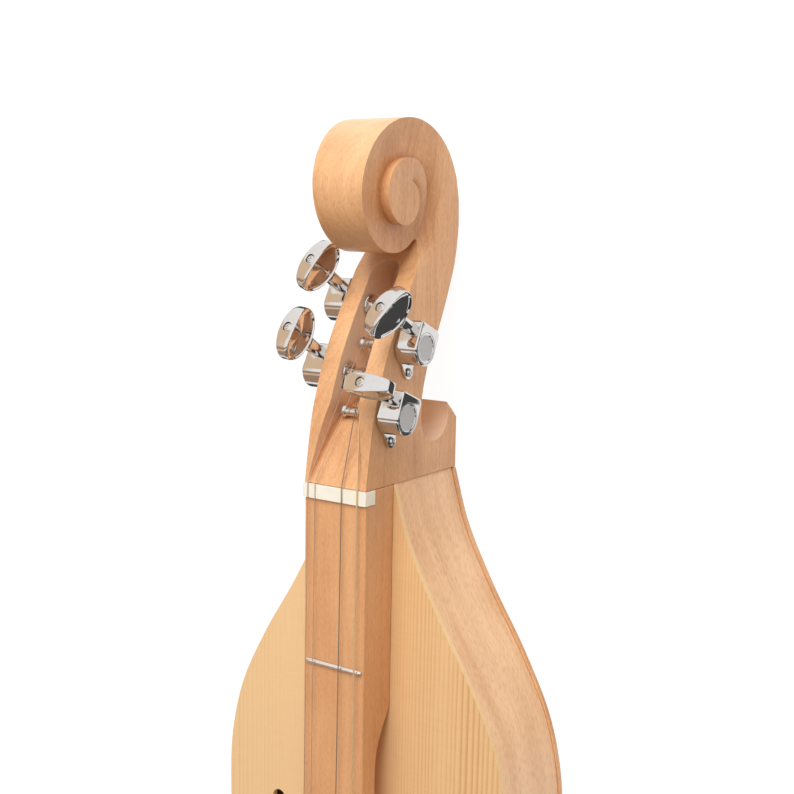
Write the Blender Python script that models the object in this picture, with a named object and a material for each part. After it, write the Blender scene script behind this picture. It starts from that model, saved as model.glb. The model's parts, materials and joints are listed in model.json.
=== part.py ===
"""Mountain dulcimer with a carved scroll head, four geared tuners and an arched fretboard.

The instrument lies on its back: +X runs from the scroll to the tail, +Y is the bass side
and +Z is the side the strings are on. Lengths are in metres. Every X in the dimensions
is counted from the tail-side edge of the nut, where the speaking length starts, and one
empty at the nut carries the whole instrument so that its bounding box is centred.
"""
import math

import bmesh
import bpy
import numpy as np
from mathutils import Vector

# Driving dimensions
SCALE_LENGTH = 0.686
BOARD_WIDTH = 0.0332
BOARD_HEIGHT = 0.0208
BODY_DEPTH = 0.0523
GAP = 0.0003
HALF = BOARD_WIDTH / 2
BOARD_TOP = BODY_DEPTH + BOARD_HEIGHT

# Where the instrument starts and ends along X
HEAD_END_X = -0.1652
TAIL_X = 0.7570
PIN_REACH = 0.0050
NUT_X = -(HEAD_END_X + TAIL_X + PIN_REACH) / 2

# Body outline: distance from the nut and half width of the plates
BODY_OUTLINE = [
    (-0.0062, 0.0166), (0.0189, 0.0244), (0.0474, 0.0392), (0.0758, 0.0568), (0.1042, 0.0711),
    (0.1326, 0.0781), (0.1610, 0.0793), (0.2450, 0.0672), (0.3300, 0.0590), (0.4200, 0.0708),
    (0.5000, 0.0890), (0.5700, 0.0955), (0.6400, 0.0830), (0.7050, 0.0520), (TAIL_X, 0.0250),
]
HEAD_FACE_X = -0.0065
BODY_START_X = HEAD_FACE_X + GAP
PLATE_OVERHANG = 0.0008
SOUNDBOARD_THICKNESS = 0.0028
BACK_THICKNESS = 0.0030
RIB_THICKNESS = 0.0025
HEAD_BLOCK_END_X = 0.0260
TAIL_BLOCK_START_X = 0.7270
PLATE_SPACING = 0.0165
RIB_SPACING = 0.0180
BLOCK_SPACING = 0.0110

# Sound holes: centre, tilt in degrees away from the strings' line, and size
SOUND_HOLES = ((0.1975, 0.0505, 7.0), (0.5480, 0.0590, -7.0))
HOLE_LENGTH = 0.0820
HOLE_SWING = 0.0062
HOLE_STEM = 0.0042
HOLE_STEM_END = 0.0009
HOLE_EYE_RADIUS = 0.0038

# Fretboard: arches along its underside, each from foot to foot, and the strum hollow
ARCHES = ((0.0955, 0.2350), (0.2620, 0.4015), (0.4285, 0.5460))
ARCH_HEIGHT = 0.0106
ARCH_SWEEP = 0.0300
STRUM_HOLLOW = (0.5620, 0.6520)
STRUM_DEPTH = 0.0075
FRET_SEMITONES = (2, 4, 5, 7, 9, 10, 12, 14, 16, 17, 19, 21, 22, 24)
FRET_WIDTH = 0.0024
FRET_HEIGHT = 0.0011
FRET_LENGTH = BOARD_WIDTH - 0.0022
TANG_DEPTH = 0.0018
TANG_WIDTH = 0.0006
TANG_INSET = 0.0029
CUT_PAST = 0.002

# Nut, bridge and hitch pins
NUT_WIDTH = 0.0065
NUT_LENGTH = 0.0342
NUT_BOTTOM = BOARD_TOP - 0.0060
NUT_TOP = BOARD_TOP + 0.0013
BRIDGE_THICKNESS = 0.0040
BRIDGE_HEIGHT = 0.0062
NOTCH_DEPTH = 0.0006
NOTCH_REACH = 0.0009
NUT_ROUND_OVER = 0.0007
BRIDGE_SHOULDER = 0.0025
BRIDGE_CROWN_RADIUS = 0.0011
BRIDGE_INSET = 0.0004
HITCH_PLATE = (0.0180, 0.0310, 0.0440, 0.0012)
PLATE_CORNER = 0.0030
PEG_RADIUS = 0.0012
PEG_HEAD_RADIUS = 0.0017
PEG_HEIGHTS = (0.0400, 0.0355, 0.0400, 0.0355)

# Head, side view: front edge of the pegbox, back of the pegbox, and the block behind it
PEGBOX_FRONT = [
    (HEAD_FACE_X, 0.0734), (-0.0220, 0.0712), (-0.0380, 0.0682), (-0.0570, 0.0618),
    (-0.0750, 0.0528), (-0.0920, 0.0420), (-0.1040, 0.0346), (-0.1095, 0.0326), (-0.1132, 0.0314),
]
PEGBOX_BACK = [
    (-0.1315, 0.0035), (-0.1180, 0.0032), (-0.1032, 0.0056), (-0.0882, 0.0112),
    (-0.0740, 0.0178), (-0.0600, 0.0254), (-0.0504, 0.0290), (-0.0420, 0.0312),
]
NOTCH_CENTRE = (-0.0330, 0.0200)
NOTCH_RADIUS = 0.0115
LIP_ANGLE = 242.0
LIP_CHAMFER = (-0.0323, 0.0030)
BLOCK_BACK_Z = 0.0010

# Scroll: spiral radius at each quarter turn, from the back of the neck in to the eye
SCROLL_CENTRE = (-0.1315, 0.0455)
SCROLL_RADII = (0.0420, 0.0337, 0.0285, 0.0240, 0.0195, 0.0168, 0.0143, 0.0120, 0.0093, 0.0070)
THROAT_ANGLE = 306.0
RIM_HALF_WIDTHS = ((-40, 0.0168), (30, 0.0168), (90, 0.0160), (135, 0.0148), (180, 0.0134),
                   (225, 0.0124), (270, 0.0118), (340, 0.0114))
CHANNEL_START = -78.0
CHANNEL_DEPTHS = ((280, 0.0002), (300, 0.0046), (315, 0.0048), (335, 0.0042), (360, 0.0036), (405, 0.0033),
                  (450, 0.0036), (495, 0.0043), (540, 0.0047), (630, 0.0051), (670, 0.0051))
CHANNEL_DISH = 0.0007
SWEEP_STEP = 11
CUT_CLEAR = 0.003
RUNOUT_END = 425.0
RUNOUT_RIM_DEPTHS = ((296, 0.0049), (330, 0.0043), (360, 0.0029), (390, 0.0014), (412, 0.0004), (430, -0.0004))
RUNOUT_FOOT_DEPTHS = ((650, 0.0051), (700, 0.0047), (740, 0.0040), (765, 0.0031), (778, 0.0012), (790, -0.0004))
RUNOUT_RIDGES = ((290, -0.0007), (306, -0.0007), (322, -0.0002), (340, 0.0007), (360, 0.0013), (400, 0.0009),
                 (430, 0.0))

# Pegbox slot: distance from the nut, half width and floor height
SLOT_STATIONS = (
    (-0.0900, 0.0074, 0.0215), (-0.0740, 0.0074, 0.0285), (-0.0590, 0.0074, 0.0355),
    (-0.0470, 0.0075, 0.0400), (-0.0425, 0.0078, 0.0440), (-0.0395, 0.0085, 0.0492),
    (-0.0370, 0.0092, 0.0540), (-0.0345, 0.0098, 0.0580), (-0.0310, 0.0106, 0.0612),
    (-0.0260, 0.0117, 0.0640), (-0.0200, 0.0128, 0.0672), (-0.0130, 0.0141, 0.0703),
    (-0.0050, 0.0154, 0.0737),
)
SLOT_END_X = -0.1044
SLOT_HALF = 0.0074
SLOT_END_FLOOR = 0.0175

# Tuners: name, side of the pegbox, post's X and height, tilt of the shaft towards the scroll
# and roll of the button, both in degrees
TUNERS = (
    ("melody_outer", -1, -0.0830, 0.0385, 29.0, 70.0),
    ("melody_inner", -1, -0.0540, 0.0540, 29.0, 84.0),
    ("middle", 1, -0.0668, 0.0460, 24.0, 60.0),
    ("bass", 1, -0.0378, 0.0590, 22.0, 2.0),
)
DRUM_RADIUS = 0.0080
DRUM_HEIGHT = 0.0114
TUNNEL_REACH = 0.0102
TUNNEL_BACK = 0.0080
TUNNEL_FRONT = 0.0076
BASE_THICKNESS = 0.0012
BOSS_RADIUS = 0.0031
BOSS_END = 0.0166
TUNNEL_CORNER = 0.0022
GEAR_CHAMBER_RADIUS = 0.0053
CHAMBER_FLOOR = 0.0025
TAB_POINT = (-0.0062, -0.0098)
TAB_RADIUS = 0.0030
TAB_SCREW_HEAD = (0.0021, 0.0011)
TAB_SCREW_SHANK = (0.0010, -0.0060)
TAB_SCREW_BORE = 0.0014
PILOT_HOLE = (0.0013, -0.0065)
CAP_RADIUS = 0.0068
CAP_THICKNESS = 0.0012
CAP_RECESS = 0.0004
GEAR_CENTRES = 0.0062
GEAR_LEVEL = 0.0056
WHEEL_TEETH = 15
WHEEL_RADIUS = 0.0042
WHEEL_WIDTH = 0.0036
TOOTH_ADDENDUM = 0.0005
TOOTH_DEDENDUM = 0.0008
WORM_RADIUS = GEAR_CENTRES - WHEEL_RADIUS
WORM_PITCH = 2 * math.pi * WHEEL_RADIUS / WHEEL_TEETH
WORM_TURNS = 3.5
SHAFT_RADIUS = 0.0016
SHAFT_BACK = -0.0064
SHAFT_END = 0.0290
SCREW_BORE_RADIUS = 0.0009
JOURNAL_RADIUS = 0.0011
POST_RADIUS = 0.0027
POST_WAIST = 0.0022
POST_FLARE = 0.0029
POST_TIP = 0.0234
SLEEVE_RADIUS = 0.0038
WASHER_RADIUS = 0.0054
WASHER_THICKNESS = 0.0008
HEX_RADIUS = 0.0046
HEX_HEIGHT = 0.0008

# Tuner buttons
BUTTON_START = 0.0186
BUTTON_DEPTH = 0.0140
BUTTON_LENGTH = 0.0246
BUTTON_THICKNESS = 0.0082
BUTTON_TAPER = 0.36
BUTTON_COLLAR_RADIUS = 0.0036
BUTTON_SCREW_RADIUS = 0.0021
BUTTON_SCREW_HEIGHT = 0.0010

# Strings: name, wire diameter, Y at the nut, Y at the bridge, Y where it leaves its post,
# winding loops, direction of the winding along Y, and the posts that it leans on (X, Y, Z)
STRINGS = (
    ("melody_outer", 0.00036, -0.0140, -0.0140, 0.0002, 2.4, 1, ((-0.0540, -0.0048, 0.0573),)),
    ("melody_inner", 0.00036, -0.0100, -0.0102, 0.0007, 2.4, -1, ()),
    ("middle", 0.00048, 0.0046, 0.0020, 0.0020, 2.4, 1, ((-0.0540, 0.0016, 0.0569),)),
    ("bass", 0.00070, 0.0130, 0.0128, 0.0045, 2.0, -1, ()),
)
WINDING_SPACE = 0.00046
WIRE_SPARE = 0.00008
NOTCH_SPARE = 0.00005
POINTS_PER_LOOP = 24
STRING_SIDES = 6
END_CORNER_RADIUS = 0.0040

# Material colours: red, green, blue, roughness, metallic
FINISHES = {
    "hardwood": (0.62, 0.33, 0.17, 0.45, 0.0),
    "spruce": (0.80, 0.60, 0.34, 0.45, 0.0),
    "board_wood": (0.55, 0.27, 0.12, 0.42, 0.0),
    "inner_wood": (0.66, 0.48, 0.28, 0.60, 0.0),
    "bone": (0.90, 0.86, 0.74, 0.35, 0.0),
    "chrome": (0.80, 0.80, 0.80, 0.08, 1.0),
    "cap_grey": (0.55, 0.54, 0.53, 0.35, 1.0),
    "fret_silver": (0.70, 0.69, 0.66, 0.25, 1.0),
    "gear_brass": (0.70, 0.50, 0.22, 0.30, 1.0),
    "string_steel": (0.50, 0.50, 0.50, 0.25, 1.0),
    "string_bronze": (0.72, 0.48, 0.20, 0.30, 1.0),
}


def clear_scene():
    """Remove everything that the file holds."""
    for obj in list(bpy.data.objects):
        bpy.data.objects.remove(obj, do_unlink=True)


def finish(name, node):
    """Return a Principled material of its own for one node."""
    red, green, blue, roughness, metallic = FINISHES[name]
    made = bpy.data.materials.new(node)
    made.use_nodes = True
    shader = made.node_tree.nodes["Principled BSDF"]
    shader.inputs["Base Color"].default_value = (red, green, blue, 1.0)
    shader.inputs["Roughness"].default_value = roughness
    shader.inputs["Metallic"].default_value = metallic
    return made


def empty(name, place, parent=None):
    """Make an empty that marks a datum or a joint axis."""
    marker = bpy.data.objects.new(name, None)
    marker.empty_display_size = 0.01
    marker.location = place
    marker.parent = parent
    bpy.context.scene.collection.objects.link(marker)
    return marker


def to_object(name, shape, finish_name, parent, smooth_angle=None):
    """Turn a bmesh into a named object with its own material."""
    bmesh.ops.recalc_face_normals(shape, faces=shape.faces)
    mesh = bpy.data.meshes.new(name)
    shape.to_mesh(mesh)
    shape.free()
    obj = bpy.data.objects.new(name, mesh)
    bpy.context.scene.collection.objects.link(obj)
    obj.parent = parent
    if finish_name:
        mesh.materials.append(finish(finish_name, name))
    if smooth_angle is not None:
        mesh.shade_smooth()
        mesh.set_sharp_from_angle(angle=math.radians(smooth_angle))
    return obj


def boolean(obj, other, operation="DIFFERENCE"):
    """Cut or join another object; the other one stays as a hidden guide."""
    modifier = obj.modifiers.new(other.name, "BOOLEAN")
    modifier.operation = operation
    modifier.solver = "EXACT"
    modifier.object = other
    other.hide_render = True
    other.display_type = "WIRE"


def guide(name, shape, parent):
    """Turn a bmesh into a hidden cutter or guide."""
    obj = to_object(name, shape, None, parent)
    obj.hide_render = True
    obj.display_type = "WIRE"
    return obj


def smooth_through(points, steps):
    """Return a Catmull-Rom curve through the points, with so many steps to each stretch."""
    given = np.array(points, dtype=float)
    before = 2 * given[0] - given[1]
    after = 2 * given[-1] - given[-2]
    padded = np.vstack([before, given, after])
    curve = []
    for index in range(1, len(padded) - 2):
        p0, p1, p2, p3 = padded[index - 1:index + 3]
        for step in range(steps):
            t = step / steps
            curve.append(0.5 * (2 * p1 + (p2 - p0) * t + (2 * p0 - 5 * p1 + 4 * p2 - p3) * t ** 2
                                + (3 * p1 - p0 - 3 * p2 + p3) * t ** 3))
    curve.append(given[-1])
    return curve


def smooth_value(stations, place):
    """Read a smooth curve through (place, value) stations."""
    places = [station[0] for station in stations]
    values = [station[1] for station in stations]
    index = int(np.clip(np.searchsorted(places, place) - 1, 0, len(places) - 2))
    slopes = np.gradient(values, places)
    width = places[index + 1] - places[index]
    t = float(np.clip((place - places[index]) / width, 0.0, 1.0))
    low = (2 * t ** 3 - 3 * t ** 2 + 1) * values[index] + (t ** 3 - 2 * t ** 2 + t) * width * slopes[index]
    high = (3 * t ** 2 - 2 * t ** 3) * values[index + 1] + (t ** 3 - t ** 2) * width * slopes[index + 1]
    return low + high


def arc(centre, radius, start, end, steps):
    """Return points on a circle, angles in degrees."""
    angles = np.radians(np.linspace(start, end, steps + 1))
    return [(centre[0] + radius * math.cos(a), centre[1] + radius * math.sin(a)) for a in angles]


def prism(shape, outline, low, high, place):
    """Add a closed prism; place maps (first, second, height) of the outline to a point."""
    bottom = [shape.verts.new(place(a, b, low)) for a, b in outline]
    top = [shape.verts.new(place(a, b, high)) for a, b in outline]
    count = len(outline)
    shape.faces.new(bottom)
    shape.faces.new(list(reversed(top)))
    for index in range(count):
        after = (index + 1) % count
        shape.faces.new((bottom[index], top[index], top[after], bottom[after]))


def side_view(first, second, height):
    """Map an outline drawn in side view, extruded across the instrument."""
    return Vector((first, height, second))


def plan_view(first, second, height):
    """Map an outline drawn from above, extruded upwards."""
    return Vector((first, second, height))


def loft(shape, rings, closed_ends=True):
    """Skin a list of equal rings of points."""
    made = [[shape.verts.new(point) for point in ring] for ring in rings]
    count = len(made[0])
    for lower, upper in zip(made, made[1:]):
        for index in range(count):
            after = (index + 1) % count
            shape.faces.new((lower[index], lower[after], upper[after], upper[index]))
    if closed_ends:
        shape.faces.new(list(reversed(made[0])))
        shape.faces.new(made[-1])


def turned(shape, profile, place, sides):
    """Revolve (distance along, radius) pairs; a zero radius closes on the axis."""
    rings = []
    for along, radius in profile:
        if radius < 1e-7:
            rings.append([shape.verts.new(place(along, 0.0, 0.0))])
            continue
        ring = []
        for step in range(sides):
            angle = 2 * math.pi * step / sides
            ring.append(shape.verts.new(place(along, radius * math.cos(angle), radius * math.sin(angle))))
        rings.append(ring)
    pairs = list(zip(rings, rings[1:]))
    if len(rings[0]) > 1:
        pairs.append((rings[-1], rings[0]))
    for lower, upper in pairs:
        for step in range(sides):
            after = (step + 1) % sides
            if len(lower) == 1:
                shape.faces.new((lower[0], upper[after], upper[step]))
            elif len(upper) == 1:
                shape.faces.new((lower[step], lower[after], upper[0]))
            else:
                shape.faces.new((lower[step], lower[after], upper[after], upper[step]))


def body_half_width(x):
    """Half width of the soundboard and back at a distance from the nut."""
    return smooth_value(BODY_OUTLINE, x)


def outline_stations(start, end, spacing):
    """Return evenly spaced distances from start to end."""
    count = max(2, round((end - start) / spacing))
    return np.linspace(start, end, count + 1)


def offset_outline(stations, inset):
    """Return the body's edge moved inwards, as (x, half width), square to the edge."""
    points = []
    for x in stations:
        slope = (body_half_width(x + 1e-4) - body_half_width(x - 1e-4)) / 2e-4
        points.append((x, body_half_width(x) - inset * math.hypot(1.0, slope)))
    return points


def plate_outline():
    """Closed outline of the soundboard and of the back."""
    stations = outline_stations(BODY_START_X, TAIL_X, PLATE_SPACING)
    edge = [(x, body_half_width(x)) for x in stations]
    edge[0] = (BODY_START_X, HALF)
    return edge + [(x, -half) for x, half in reversed(edge)]


def sound_hole_guide(index, x, y, tilt, datum):
    """Make the cutter of one f-hole: a swung stem that ends in two round eyes."""
    shape = bmesh.new()
    turn = math.radians(tilt) * (1 if y > 0 else -1)
    mirror = 1 if y > 0 else -1

    def place(along, across, height):
        across *= mirror
        return Vector((x + along * math.cos(turn) - across * math.sin(turn),
                       y + along * math.sin(turn) + across * math.cos(turn), height))

    reach = HOLE_LENGTH / 2 - HOLE_EYE_RADIUS
    left, right = [], []
    steps = 9
    for step in range(steps + 1):
        t = step / steps
        phase = (t - 0.5) * 2
        along = reach * math.sin(phase * math.pi / 2) * 0.92
        across = -HOLE_SWING * math.sin(phase * math.pi * 0.82)
        width = HOLE_STEM_END + (HOLE_STEM - HOLE_STEM_END) * (1 - abs(phase)) ** 0.8
        left.append((along, across - width / 2))
        right.append((along, across + width / 2))
    low = BODY_DEPTH - SOUNDBOARD_THICKNESS - 0.002
    high = BODY_DEPTH + 0.002
    prism(shape, left + list(reversed(right)), low, high, place)
    stem = guide(f"sound_hole_{index}", shape, datum)
    eyes = bmesh.new()
    for sign in (-1, 1):
        centre = (sign * (reach - 0.0016), sign * 0.0012)
        prism(eyes, arc(centre, HOLE_EYE_RADIUS, 0, 330, 11), low, high, place)
    return stem, guide(f"sound_hole_eyes_{index}", eyes, datum)


def build_soundboard(datum):
    """Spruce top with four f-holes."""
    shape = bmesh.new()
    prism(shape, plate_outline(), BODY_DEPTH - SOUNDBOARD_THICKNESS, BODY_DEPTH, plan_view)
    board = to_object("soundboard", shape, "spruce", datum)
    index = 0
    for x, y, tilt in SOUND_HOLES:
        for side in (-1, 1):
            index += 1
            for cutter in sound_hole_guide(index, x, side * y, tilt, datum):
                boolean(board, cutter)


def build_back(datum):
    """Hardwood back plate, the face that the instrument rests on."""
    shape = bmesh.new()
    prism(shape, plate_outline(), 0.0, BACK_THICKNESS, plan_view)
    to_object("back_plate", shape, "hardwood", datum)


def build_rib(label, side, low, high, datum):
    """Bend one rib along the body's edge."""
    stations = outline_stations(BODY_START_X, TAIL_X, RIB_SPACING)
    outer = offset_outline(stations, PLATE_OVERHANG)
    inner = offset_outline(stations, PLATE_OVERHANG + RIB_THICKNESS)
    shape = bmesh.new()
    rings = []
    for (x, out), (_, inn) in zip(outer, inner):
        rings.append([Vector((x, side * out, low)), Vector((x, side * out, high)),
                      Vector((x, side * inn, high)), Vector((x, side * inn, low))])
    loft(shape, rings)
    to_object(f"rib_{label}", shape, "hardwood", datum, 30)


def inner_height():
    """Lowest and highest level of the pieces between back and soundboard."""
    return BACK_THICKNESS + GAP, BODY_DEPTH - SOUNDBOARD_THICKNESS - GAP


def block_outline(start, end):
    """Outline of a block that fills the space between the ribs."""
    edge = offset_outline(outline_stations(start, end, BLOCK_SPACING), PLATE_OVERHANG + RIB_THICKNESS + GAP)
    return edge + [(x, -half) for x, half in reversed(edge)]


def build_sides(datum):
    """Two bent ribs and the block that joins them at the tail."""
    low, high = inner_height()
    for side, label in ((-1, "melody"), (1, "bass")):
        build_rib(label, side, low, high, datum)
    shape = bmesh.new()
    prism(shape, block_outline(TAIL_BLOCK_START_X, TAIL_X), low, high, plan_view)
    to_object("tail_block", shape, "inner_wood", datum)


def arch_curve(start, end):
    """Underside of one arch: a quick rise in an S, a long flat and the same fall."""
    base = BODY_DEPTH + GAP
    steps = 7
    rise = []
    for step in range(steps + 1):
        t = step / steps
        rise.append((start + ARCH_SWEEP * t, base + ARCH_HEIGHT * (1 - (1 - t) ** 2.4) ** 1.3))
    fall = [(start + end - x, z) for x, z in reversed(rise)]
    return rise + fall


def fret_places():
    """Distance of each fret from the nut on a diatonic scale."""
    return [SCALE_LENGTH * (1 - 2 ** (-semitone / 12)) for semitone in FRET_SEMITONES]


def build_fretboard(datum):
    """Fretboard that stands on feet between its arches, with a hollow for strumming."""
    base = BODY_DEPTH + GAP
    start, end = STRUM_HOLLOW
    outline = [(BODY_START_X, base)]
    for arch_start, arch_end in ARCHES:
        outline += arch_curve(arch_start, arch_end)
    outline += [(TAIL_X, base)]
    corner = (TAIL_X - END_CORNER_RADIUS, BOARD_TOP - END_CORNER_RADIUS)
    outline += arc(corner, END_CORNER_RADIUS, 0, 90, 6)
    for t in np.linspace(1, 0, 13):
        drop = STRUM_DEPTH * (1 - abs(2 * t - 1) ** 2.5)
        outline.append((start + (end - start) * t, BOARD_TOP - drop))
    outline += [(GAP, BOARD_TOP), (GAP, NUT_BOTTOM - GAP), (BODY_START_X, NUT_BOTTOM - GAP)]
    shape = bmesh.new()
    prism(shape, outline, -HALF, HALF, side_view)
    board = to_object("fretboard", shape, "board_wood", datum)
    slots = bmesh.new()
    for x in fret_places():
        half = TANG_WIDTH / 2 + GAP
        floor = BOARD_TOP - TANG_DEPTH - GAP
        box = [(x - half, floor), (x + half, floor), (x + half, BOARD_TOP + CUT_PAST),
               (x - half, BOARD_TOP + CUT_PAST)]
        prism(slots, box, -HALF + TANG_INSET - 0.0004, HALF - TANG_INSET + 0.0004, side_view)
    boolean(board, guide("fret_slots", slots, datum))


def build_frets(datum):
    """Fret wires: a low round crown that rests on the board, and a tang in its slot."""
    for number, x in enumerate(fret_places(), 1):
        base = BOARD_TOP + GAP
        crown = [(x + FRET_WIDTH / 2 * math.cos(a), base + 0.0001 + (FRET_HEIGHT - 0.0001) * math.sin(a))
                 for a in np.linspace(0, math.pi, 6)]
        shape = bmesh.new()
        prism(shape, crown, -FRET_LENGTH / 2, FRET_LENGTH / 2, side_view)
        fret = to_object(f"fret_{number:02d}", shape, "fret_silver", datum, 35)
        half = TANG_WIDTH / 2
        box = [(x - half, BOARD_TOP - TANG_DEPTH), (x + half, BOARD_TOP - TANG_DEPTH),
               (x + half, BOARD_TOP + FRET_HEIGHT / 2), (x - half, BOARD_TOP + FRET_HEIGHT / 2)]
        tang = bmesh.new()
        prism(tang, box, -HALF + TANG_INSET, HALF - TANG_INSET, side_view)
        boolean(fret, guide(f"fret_tang_{number:02d}", tang, datum), "UNION")


def string_notches(name, x, half_width, heights, datum):
    """Make V notches, one for each string, through a saddle at x."""
    shape = bmesh.new()
    for y, height in heights:
        bottom = height - NOTCH_DEPTH
        above = height + NOTCH_DEPTH
        outline = [(y, bottom), (y + NOTCH_REACH, above), (y - NOTCH_REACH, above)]
        prism(shape, outline, x - half_width, x + half_width, lambda a, b, h: Vector((h, a, b)))
    return guide(name, shape, datum)


def build_nut(datum):
    """Bone nut in the rabbet at the end of the fretboard."""
    shape = bmesh.new()
    low, high = -NUT_WIDTH + GAP, 0.0
    side = NUT_LENGTH / 2
    outline = [(-side, NUT_BOTTOM), (side, NUT_BOTTOM)]
    outline += arc((side - NUT_ROUND_OVER, NUT_TOP - NUT_ROUND_OVER), NUT_ROUND_OVER, 0, 90, 3)
    outline += arc((-side + NUT_ROUND_OVER, NUT_TOP - NUT_ROUND_OVER), NUT_ROUND_OVER, 90, 180, 3)
    prism(shape, outline, low, high, lambda a, b, h: Vector((h, a, b)))
    nut = to_object("nut", shape, "bone", datum)
    places = [(string[2], NUT_TOP) for string in STRINGS]
    boolean(nut, string_notches("nut_notches", -NUT_WIDTH / 2, NUT_WIDTH, places, datum))


def build_bridge(datum):
    """Bone bridge on the solid tail part of the fretboard."""
    base = BOARD_TOP + GAP
    top = BOARD_TOP + BRIDGE_HEIGHT
    half = BRIDGE_THICKNESS / 2
    shape = bmesh.new()
    shoulder = base + BRIDGE_SHOULDER
    outline = [(SCALE_LENGTH - half, base), (SCALE_LENGTH + half, base), (SCALE_LENGTH + half, shoulder)]
    outline += arc((SCALE_LENGTH, top - BRIDGE_CROWN_RADIUS), BRIDGE_CROWN_RADIUS, 20, 160, 5)
    outline += [(SCALE_LENGTH - half, shoulder)]
    prism(shape, outline, -HALF + BRIDGE_INSET, HALF - BRIDGE_INSET, side_view)
    bridge = to_object("bridge", shape, "bone", datum)
    places = [(string[3], top) for string in STRINGS]
    boolean(bridge, string_notches("bridge_notches", SCALE_LENGTH, BRIDGE_THICKNESS, places, datum))


def spiral_radius(angle):
    """Radius of the scroll's spiral, angle in degrees from the back of the neck."""
    stations = [(90.0 * index, radius) for index, radius in enumerate(SCROLL_RADII)]
    if angle < 0:
        return SCROLL_RADII[0] + (SCROLL_RADII[0] - SCROLL_RADII[1]) * -angle / 90
    return smooth_value(stations, angle)


def scroll_point(angle, radius):
    """Side-view point at an angle and radius about the scroll's centre."""
    turn = math.radians(angle)
    return (SCROLL_CENTRE[0] - radius * math.sin(turn), SCROLL_CENTRE[1] - radius * math.cos(turn))


def head_outline():
    """Side view of the head: pegbox front, scroll, pegbox back, notch and block."""
    outline = [tuple(point) for point in smooth_through(PEGBOX_FRONT, 3)][:-1]
    for angle in np.linspace(THROAT_ANGLE, 12, 44):
        outline.append(scroll_point(angle, spiral_radius(angle)))
    outline += [tuple(point) for point in smooth_through(PEGBOX_BACK, 3)]
    outline += arc(NOTCH_CENTRE, NOTCH_RADIUS, 90, LIP_ANGLE - 360, 18)
    outline += [LIP_CHAMFER, (LIP_CHAMFER[0] + 0.002, BLOCK_BACK_Z), (HEAD_FACE_X, BLOCK_BACK_Z)]
    return outline


def sweep_guide(name, side, start, end, section_at, datum):
    """Sweep a cutter round the scroll's centre; section_at gives its (radius, height) points."""
    rings = []
    for angle in np.linspace(start, end, round((end - start) / SWEEP_STEP) + 1):
        ring = []
        for radius, height in section_at(angle):
            x, z = scroll_point(angle, radius)
            ring.append(Vector((x, side * height, z)))
        rings.append(ring)
    shape = bmesh.new()
    loft(shape, rings)
    return guide(name, shape, datum)


def channel_section(angle):
    """Section of the scroll's channel: a bevel on the neck that turns into a dished floor."""
    inner = spiral_radius(angle + 360)
    if angle < THROAT_ANGLE - 364:
        inner = spiral_radius(THROAT_ANGLE - 4) + 0.0003 + 0.00015 * (THROAT_ANGLE - 364 - angle)
    outer = spiral_radius(angle) + 0.0025 * min(1.0, (THROAT_ANGLE - angle) / 60)
    foot = HALF - smooth_value(CHANNEL_DEPTHS, angle + 360)
    rim = smooth_value(RIM_HALF_WIDTHS, angle)
    turned_share = min(1.0, max(0.0, (angle - 20) / 70))
    spread = 0.5 + 0.5 * turned_share
    dish = CHANNEL_DISH * turned_share * min(1.0, max(0.0, (THROAT_ANGLE - 4 - angle) / 45))
    section = [(inner, HALF + CUT_CLEAR), (inner, foot)]
    for t in (0.12, 0.30, 0.52, 0.76):
        rise = math.sin(math.pi / 2 * min(1.0, t / spread))
        rise += (t - rise) * turned_share
        section.append((inner + (outer - inner) * t, foot + (rim - foot) * rise - dish * math.sin(math.pi * t)))
    return section + [(outer, rim), (outer, HALF + CUT_CLEAR)]


def runout_section(angle):
    """Section of the inner turn, which climbs out of the channel round the eye."""
    inner = spiral_radius(angle + 360)
    outer = spiral_radius(angle) + 0.00015
    foot = HALF - smooth_value(RUNOUT_FOOT_DEPTHS, angle + 360)
    rim = HALF - smooth_value(RUNOUT_RIM_DEPTHS, angle)
    ridge = smooth_value(RUNOUT_RIDGES, angle)
    section = [(inner, HALF + CUT_CLEAR), (inner, foot)]
    for t in (0.25, 0.5, 0.75):
        section.append((inner + (outer - inner) * t, foot + (rim - foot) * t + ridge * math.sin(math.pi * t)))
    return section + [(outer, rim), (outer, HALF + CUT_CLEAR)]


def slot_guide(datum):
    """Cutter of the pegbox slot: round at the scroll end, with a ramp up to the nut."""
    stations = []
    for t in np.linspace(0, 1, 7):
        swing = t * math.pi / 2
        x = SLOT_END_X + SLOT_HALF * (1 - math.cos(swing))
        floor = SLOT_END_FLOOR + (SLOT_STATIONS[0][2] - SLOT_END_FLOOR) * (x - SLOT_END_X) / (
            SLOT_STATIONS[0][0] - SLOT_END_X)
        stations.append((x, max(0.0008, SLOT_HALF * math.sin(swing)), floor))
    stations += [tuple(station) for station in SLOT_STATIONS]
    top = BOARD_TOP + 0.02
    rings = []
    for x, half, floor in stations:
        rings.append([Vector((x, -half, floor)), Vector((x, half, floor)), Vector((x, half, top)),
                      Vector((x, -half, top))])
    shape = bmesh.new()
    loft(shape, rings)
    return guide("pegbox_slot", shape, datum)


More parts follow.
